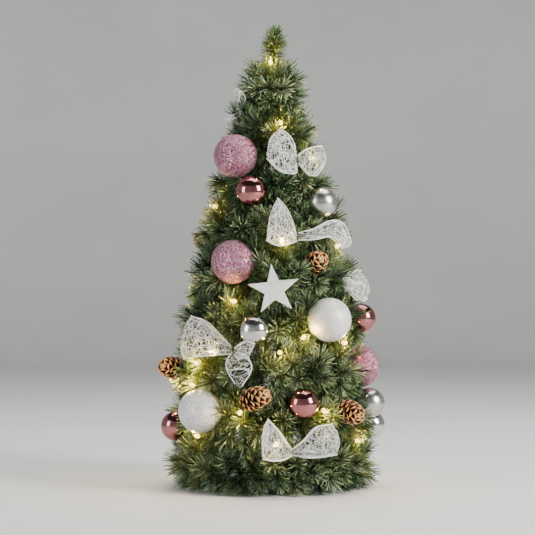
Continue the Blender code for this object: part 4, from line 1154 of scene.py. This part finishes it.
# Each bow: the knot's angle and height, then its parts. A part has its kind, the line of its upper or
# left edge and of its lower or right edge, in mm to the right and upwards, and how far its end bulges.
bow_plans = {
    "bow_1": (*bow_knots["bow_1"], [
        ("loop", [(-1, 3), (-6, 18), (-17, 33), (-30, 39)], [(-2, -7), (-10, -21), (-31, -19), (-52, -2)], 7),
        ("loop", [(2, 4), (12, 12), (25, 17), (38, 19)], [(2, -6), (9, -18), (19, -24), (34, -9)], 3),
    ]),
    "bow_2": (*bow_knots["bow_2"], [
        ("loop", [(0, 3), (-7, 20), (-17, 39), (-28, 53)], [(0, -5), (-13, -9), (-30, -12), (-48, -5)], 5),
        (
            "loop",
            [(3, 6), (28, 13), (54, 24), (72, 17), (82, -8)],
            [(3, -4), (26, -3), (46, 1), (58, -4), (64, -15)],
            3,
        ),
    ]),
    "bow_3": (*bow_knots["bow_3"], [
        ("loop", [(1, 6), (10, 15), (22, 21), (36, 17)], [(1, -5), (12, -17), (26, -24), (40, -20)], 6),
        ("loop", [(-2, 4), (-10, 8), (-18, 8), (-25, 5)], [(-2, -4), (-9, -9), (-17, -11), (-24, -8)], 2),
    ]),
    "bow_4": (*bow_knots["bow_4"], [
        (
            "loop",
            [(-2, 2), (-20, 20), (-42, 37), (-64, 44)],
            [(-2, -7), (-24, -9), (-47, -11), (-72, -15)],
            8,
        ),
        ("loop", [(2, 1), (12, 6), (24, 11), (37, 8)], [(2, -8), (12, -13), (23, -11), (31, -11)], 2),
        ("tail", [(-1, -4), (-5, -18), (1, -33), (12, -46)], [(8, -4), (26, -11), (33, -27), (23, -49)], 4),
    ]),
    "bow_5": (*bow_knots["bow_5"], [
        ("loop", [(0, 3), (-9, 14), (-20, 29), (-35, 45)], [(0, -5), (-12, -10), (-27, -11), (-42, -8)], 6),
        ("loop", [(1, 3), (15, 15), (32, 33), (54, 37)], [(1, -5), (20, -8), (40, -7), (60, -4)], 6),
    ]),
    "bow_6": (*bow_knots["bow_6"], [
        ("loop", [(-2, 3), (-3, 12), (0, 22), (4, 30)], [(3, -1), (12, 5), (20, 14), (24, 24)], 3),
        ("loop", [(-2, -2), (-3, -6), (-3, -10), (-2, -14)], [(3, -3), (9, -7), (11, -11), (9, -15)], 3),
    ]),
}
KNOT_IN, RIBBON_WIDTH = 0.012, 0.045


def ribbon_point(plan, part, run, across):
    """A point of a ribbon part: run goes out and back from 0 to 1, and across from edge to edge."""
    angle, height, _ = plan
    kind, upper, lower, bulge = part
    share = math.sin(math.pi * run) if kind == "loop" else run
    flat = along_line(lower, share).lerp(along_line(upper, share), across)
    middle = along_line(lower, 1).lerp(along_line(upper, 1), 0.5)
    crown = 1 - (2 * across - 1) ** 2
    flat = (flat + middle.normalized() * bulge * crown * share**3) / 1000
    if kind == "loop" and run > 0.5:
        flat = flat * 0.97
    swell = math.sin(2 * math.pi * run) * 0.0075 if kind == "loop" else 0.003 * math.sin(math.pi * share)
    pleats = 0.0022 * (1 - share) ** 1.3 * math.sin(2 * math.pi * 3 * across + run * 4)
    ruffle = 0.0018 * math.sin(7 * share + 5 * across) * share
    out = swell * (0.6 + 0.4 * crown) + pleats + ruffle + 0.003 * crown * share
    curve = reach(height)
    radius = curve - KNOT_IN * (1 - share) + 0.003 * share
    drop = 0.62 * flat.x**2 / (2 * curve)
    lean = reach(height + flat.y) - curve
    axes = Matrix.Rotation(math.radians(angle), 3, "Z")
    local = Vector((flat.x, -(radius + out - drop + 0.85 * lean), flat.y))
    return axes @ local + Vector((0, 0, height))


print(len(bow_plans), "bow plans")

# %% [markdown]
# The web's pattern is made of thin straight fibres. A fibre field is a Voronoi pattern stretched along
# one direction, so that its cell borders are long streaks, and three fields turned different ways cross
# each other. The finish reads the sheet's own UV map, in centimetres along and across the ribbon, so
# that the fibres keep their scale.


# %% Web finish
FIBRE_WIDTH = 0.012


def fibre_field(tree, place, turn, scale, stretch, width):
    """A mask of long thin streaks, turned and stretched."""
    mapping = node(tree, "ShaderNodeMapping", Rotation=(0, 0, math.radians(turn)), Scale=(1.0, stretch, 1.0))
    tree.links.new(place, mapping.inputs["Vector"])
    kind = {"feature": "DISTANCE_TO_EDGE", "voronoi_dimensions": "2D"}
    cells = node(tree, "ShaderNodeTexVoronoi", **kind, Scale=scale)
    tree.links.new(mapping.outputs["Vector"], cells.inputs["Vector"])
    return ramp_value(tree, cells.outputs["Distance"], width, width * 1.6, 1.0, 0.0)


def greatest(tree, first, second):
    return maths(tree, "ShaderNodeMath", "MAXIMUM", first, second)["Value"]


web, web_shader, web_tree = new_finish("web of fibres", (0.92, 0.91, 0.89), 0.35)
web_place = web_tree.nodes.new("ShaderNodeUVMap").outputs["UV"]
field_kinds = ((20, 1.30, 0.45), (80, 1.45, 0.40), (140, 1.35, 0.45))
fields = [fibre_field(web_tree, web_place, *kind, FIBRE_WIDTH) for kind in field_kinds]
web_mask = greatest(web_tree, greatest(web_tree, fields[0], fields[1]), fields[2])
web_tree.links.new(ramp_value(web_tree, web_mask, 0, 1, 0.0, 0.95), web_shader.inputs["Alpha"])
web_tone = ramp(web_tree, noise(web_tree, 240.0, 3.0), [(0.3, (0.80, 0.79, 0.77)), (0.7, (1.0, 1.0, 0.98))])
web_tree.links.new(web_tone, web_shader.inputs["Base Color"])
bump(web_tree, web_shader, web_mask, 0.5, 0.0006)
thread_finish, thread_shader, thread_tree = new_finish("fibre", (0.93, 0.92, 0.90), 0.42)
thread_stops = [(0.35, (0.78, 0.77, 0.75)), (0.65, (1.0, 0.99, 0.97))]
thread_tone = ramp(thread_tree, noise(thread_tree, 300.0), thread_stops)
thread_tree.links.new(thread_tone, thread_shader.inputs["Base Color"])
bump(thread_tree, thread_shader, noise(thread_tree, 1500.0), 0.4, 0.0003)
print("web finish:", len(web_tree.nodes), "nodes")


# %% Tie the bows
FIBRE_RADIUS, EDGE_RADIUS = 0.00032, 0.00070


def ribbon_sheet(plan, part):
    """The sheet of one part, with UV in centimetres."""
    steps = 44 if part[0] == "loop" else 24
    shape = bmesh.new()
    bmesh.ops.create_grid(shape, x_segments=steps, y_segments=12, size=1.0, calc_uvs=True)
    uv = shape.loops.layers.uv.verify()
    rim = Vector(part[1][-1]) - Vector(part[2][-1])
    length = max(Vector(part[1][-1]).length, Vector(part[2][-1]).length) / 10
    for face in shape.faces:
        for loop in face.loops:
            run, across = (loop.vert.co.x + 1) / 2, (loop.vert.co.y + 1) / 2
            loop[uv].uv = (run * length * (2 if part[0] == "loop" else 1), across * max(3.0, rim.length / 10))
    for corner in shape.verts:
        corner.co = ribbon_point(plan, part, (corner.co.x + 1) / 2, (corner.co.y + 1) / 2)
    return shape


def fibres(plan, part, seed, count):
    """Threads laid at random over a part's surface."""
    chance = np.random.default_rng(seed)
    found = []
    for _ in range(count):
        run, across = chance.uniform(0.03, 0.97), chance.uniform(0.0, 1.0)
        turn = chance.uniform(0, 6.28)
        line = []
        for _step in range(int(chance.integers(9, 20))):
            line.append(ribbon_point(plan, part, run, across))
            run += 0.016 * math.cos(turn)
            across += 0.045 * math.sin(turn)
            turn += chance.uniform(-0.30, 0.30)
            if not (0.01 < run < 0.99 and 0 <= across <= 1):
                break
        if len(line) > 3:
            found.append(line)
    return found


for seed, (name, plan) in enumerate(bow_plans.items()):
    whole = bmesh.new()
    threads, rims = [], []
    for index, part in enumerate(plan[2]):
        loose = mesh_from("part", ribbon_sheet(plan, part))
        whole.from_mesh(loose)
        bpy.data.meshes.remove(loose)
        size = Vector(part[1][-1]).length * (Vector(part[1][-1]) - Vector(part[2][-1])).length / 1000
        threads += fibres(plan, part, 500 + 10 * seed + index, int(6 + 14 * size))
        for across in (0.0, 1.0):
            rims.append([ribbon_point(plan, part, step / 40, across) for step in range(41)])
    ribbon = mesh_object(name + ".ribbon", whole, web, smooth=True)
    pieces = [
        tube(name + ".fibres", threads, FIBRE_RADIUS, thread_finish, 0),
        tube(name + ".edges", rims, EDGE_RADIUS, thread_finish, 1),
    ]
    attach(ribbon, "tree")
    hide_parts(name)
    for piece in pieces:
        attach(piece, "tree")

# %% [markdown]
# ## The star
#
# The star is cut from thin board and painted off-white. It hangs on a wire through a hole above its
# middle, leans back on the needles and can swing a little, so it rides on its own body. A circle of ten
# corners becomes the star when every second one is drawn in. A small circle is bridged to it, which
# leaves the hole, and the face is raised and its edges are rounded.

# %% Star
STAR_RADIUS, STAR_WAIST, STAR_THICKNESS = 0.0358, 0.382, 0.004
star_height = TIER_FIRST + TIER_PITCH * 4 - 0.015
star_place = Matrix.Translation(around(1.0, reach(star_height) + 0.010, star_height))
for angle, axis in ((1.0, "Z"), (104, "X"), (6.5, "Z")):
    star_place = star_place @ Matrix.Rotation(math.radians(angle), 4, axis)
board = bmesh.new()
outline = bmesh.ops.create_circle(board, segments=10, radius=STAR_RADIUS)["verts"]
for corner in outline:
    step = round(math.degrees(math.atan2(corner.co.y, corner.co.x)) - 90) % 72
    if 20 < step < 52:
        corner.co *= STAR_WAIST
bmesh.ops.create_circle(board, segments=10, radius=0.0016, matrix=Matrix.Translation((0, 0.0105, 0)))
bmesh.ops.bridge_loops(board, edges=board.edges[:])
raised = bmesh.ops.extrude_face_region(board, geom=board.faces[:])["geom"]
raised_corners = [item for item in raised if isinstance(item, bmesh.types.BMVert)]
bmesh.ops.translate(board, verts=raised_corners, vec=(0, 0, STAR_THICKNESS))
bmesh.ops.translate(board, verts=board.verts, vec=(0, 0, -STAR_THICKNESS / 2))
bmesh.ops.recalc_face_normals(board, faces=board.faces)
rims = [edge for edge in board.edges if edge.calc_face_angle(0) > 1.2]
bmesh.ops.bevel(board, geom=rims, offset=0.0006, segments=2, profile=0.5, affect="EDGES", material=-1)
board.transform(star_place)
bmesh.ops.recalc_face_normals(board, faces=board.faces)
paint, paint_shader, paint_tree = new_finish("painted board", (0.76, 0.76, 0.73), 0.55)
stretch = node(paint_tree, "ShaderNodeMapping", Scale=(60, 60, 9))
paint_tree.links.new(object_place(paint_tree), stretch.inputs["Vector"])
grain_lines = noise(paint_tree, 4.0, 5.0, 0.65, stretch.outputs["Vector"])
paint_stops = [(0.3, (0.60, 0.60, 0.57)), (0.5, (0.74, 0.74, 0.71)), (0.7, (0.82, 0.82, 0.80))]
paint_tone = ramp(paint_tree, grain_lines, paint_stops)
paint_tree.links.new(paint_tone, paint_shader.inputs["Base Color"])
paint_gloss = ramp_value(paint_tree, grain_lines, 0.3, 0.7, 0.66, 0.46)
paint_tree.links.new(paint_gloss, paint_shader.inputs["Roughness"])
bump(paint_tree, paint_shader, grain_lines, 0.5, 0.0004)
star = mesh_object("star.board", board, paint)
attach(star, "star")
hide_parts("star")
print("star:", len(star.data.polygons), "faces")

# %% [markdown]
# ## The light string
#
# The lead is two thin green wires twisted together. It leaves the battery box at the back, goes round
# the tree in every valley between two rings and climbs to the next one inside a ring. A stalk turns off
# it to each lamp, which is a clear lens in a small green holder. The lenses glow warm, and a small light
# stands just in front of each.


# %% Route of the lead
def lead_route():
    """The lead's points, from the battery box to the crown."""
    points = [(0.0168, 0.0311, 0.0361), (0.0168, 0.0451, 0.0361), (0.0168, 0.0611, 0.0441)]
    first = core_radius(TIER_FIRST) - 0.0251
    points.append(around(170, first, TIER_FIRST + 0.019))
    for index in range(TIER_COUNT):
        height = tier_height(index) + TIER_PITCH / 2
        radius = max(core_radius(height) - 0.005, 0.0112)
        points += [around(181 + 334 * step / 24, radius, height) for step in range(25)]
        if index < TIER_COUNT - 1:
            above = tier_height(index + 1)
            inside = max(core_radius(above) - 0.0252, 0.0088)
            points += [around(165, inside, above - 0.016), around(171, inside, above + 0.016)]
    low = CROWN_HEIGHT - 0.025
    for share, turn in ((0, 180), (0.5, 200), (1, 260)):
        points.append(around(turn, 0.0043, low + (SPRIG_FOOT - low) * share))
    return [Vector(point) for point in points]


route = smooth_line(lead_route(), 8)
print(f"lead: {sum((b - a).length for a, b in zip(route, route[1:])):.2f} m in {len(route)} points")

# %% Lead and stalks
lead_green = grained("green lead", (0.022, 0.060, 0.028), 900.0, 0.0002)
stalk_lines = []
for tip, outward in lamps:
    base = tip - outward * 0.0165
    root = min(route, key=lambda point: (point - base).length)
    middle = base.lerp(root, 0.5) - outward * 0.004
    stalk_lines += list(twisted(smooth_line([root, middle, base], 8), 0.010, 0.0005))
lead = tube("light_string.lead", list(twisted(route, 0.014, 0.0006)) + stalk_lines, 0.0006, lead_green, 0)
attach(lead, "tree")
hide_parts("light_string")
print("lead faces:", len(lead.data.polygons))

# %% Lamps
LAMP_POWER, LAMP_BRIGHTNESS = 0.13, 7.0
holder_profile = [
    (0.0, -0.0168), (0.0014, -0.0168), (0.0019, -0.0158), (0.0029, -0.0150), (0.0031, -0.0144),
    (0.0028, -0.0136), (0.0028, -0.0090), (0.0033, -0.0086), (0.0033, -0.0074), (0.0026, -0.0071),
    (0.0, -0.0070),
]
lens_profile = [
    (0.0, -0.0074), (0.0024, -0.0074), (0.0029, -0.0066), (0.0029, -0.0034),
    (0.0025, -0.0017), (0.0017, -0.0006), (0.0007, -0.0001), (0.0, 0.0),
]
glow, glow_shader, glow_tree = new_finish("lit lens", (0.010, 0.008, 0.002), 0.35)
glow_core = ramp(glow_tree, noise(glow_tree, 500.0), [(0.3, (1.0, 0.68, 0.08)), (0.7, (1.0, 0.78, 0.16))])
glow_tree.links.new(glow_core, glow_shader.inputs["Emission Color"])
glow_shader.inputs["Emission Strength"].default_value = LAMP_BRIGHTNESS
holder_mesh = mesh_from("holder", spun(holder_profile, 14))
lens_mesh = mesh_from("lens", spun(lens_profile, 14))
holders, lenses = bmesh.new(), bmesh.new()
for index, (tip, outward) in enumerate(lamps):
    place = aimed(outward, tip)
    add_copy(holders, holder_mesh, place)
    add_copy(lenses, lens_mesh, place)
    shine = bpy.data.lights.new(f"lamp_{index + 1}", "POINT")
    shine.energy = LAMP_POWER
    shine.color = (1.0, 0.66, 0.17)
    shine.shadow_soft_size = 0.002
    made = add_object(shine.name, shine)
    made.location = tip + outward * 0.004
    made.visible_camera = False
for name, shape, finish in (("holders", holders, lead_green), ("lenses", lenses, glow)):
    piece = mesh_object("light_string." + name, shape, finish, smooth=True)
    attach(piece, "tree")
print(len(lamps), "lamps lit")

# %% [markdown]
# ## Finishes of the CAD pieces
#
# The frame, the battery box and their small parts keep their CAD meshes, whose shapes are right. Each
# gets a finish from the shared grain: green plastic coating on the steel wire, black moulded plastic,
# rubber, plated contacts, grey sleeves on the cells and the green board of the timer. The star's tie is
# painted like the star.

# %% Finish the frame and the battery box
coated = grained("green coated wire", (0.020, 0.045, 0.026), 700.0, 0.0004)
black = grained("black moulded plastic", (0.022, 0.022, 0.024), 1100.0, 0.0003)
rubber = grained("soft rubber", (0.030, 0.030, 0.030), 600.0, 0.0005)
sleeve = grained("cell sleeve", (0.20, 0.21, 0.24), 400.0, 0.0001)
switch_grey = grained("grey switch plastic", (0.30, 0.30, 0.31), 900.0, 0.0002)
board_green = grained("circuit board", (0.015, 0.10, 0.045), 350.0, 0.0002)
plated = grained("plated steel", (0.62, 0.61, 0.58), 500.0, 0.0002, metallic=1.0)
cad_finishes = {
    "base_ring": coated, "frame_rib": coated, "lower_hoop": coated, "box_bracket": coated,
    "crown_ferrule": coated, "star_tie": paint, "battery_case": black, "battery_cover": black,
    "lead_gland": rubber, "battery_cell": sleeve, "contact_plate": plated, "bracket_screw": plated,
    "switch_knob": switch_grey, "timer_board": board_green,
}
for name, cad_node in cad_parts.items():
    for start, finish in cad_finishes.items():
        if name.startswith(start):
            cad_node.material_slots[0].material = finish
print(len(cad_finishes), "finishes given to CAD pieces")
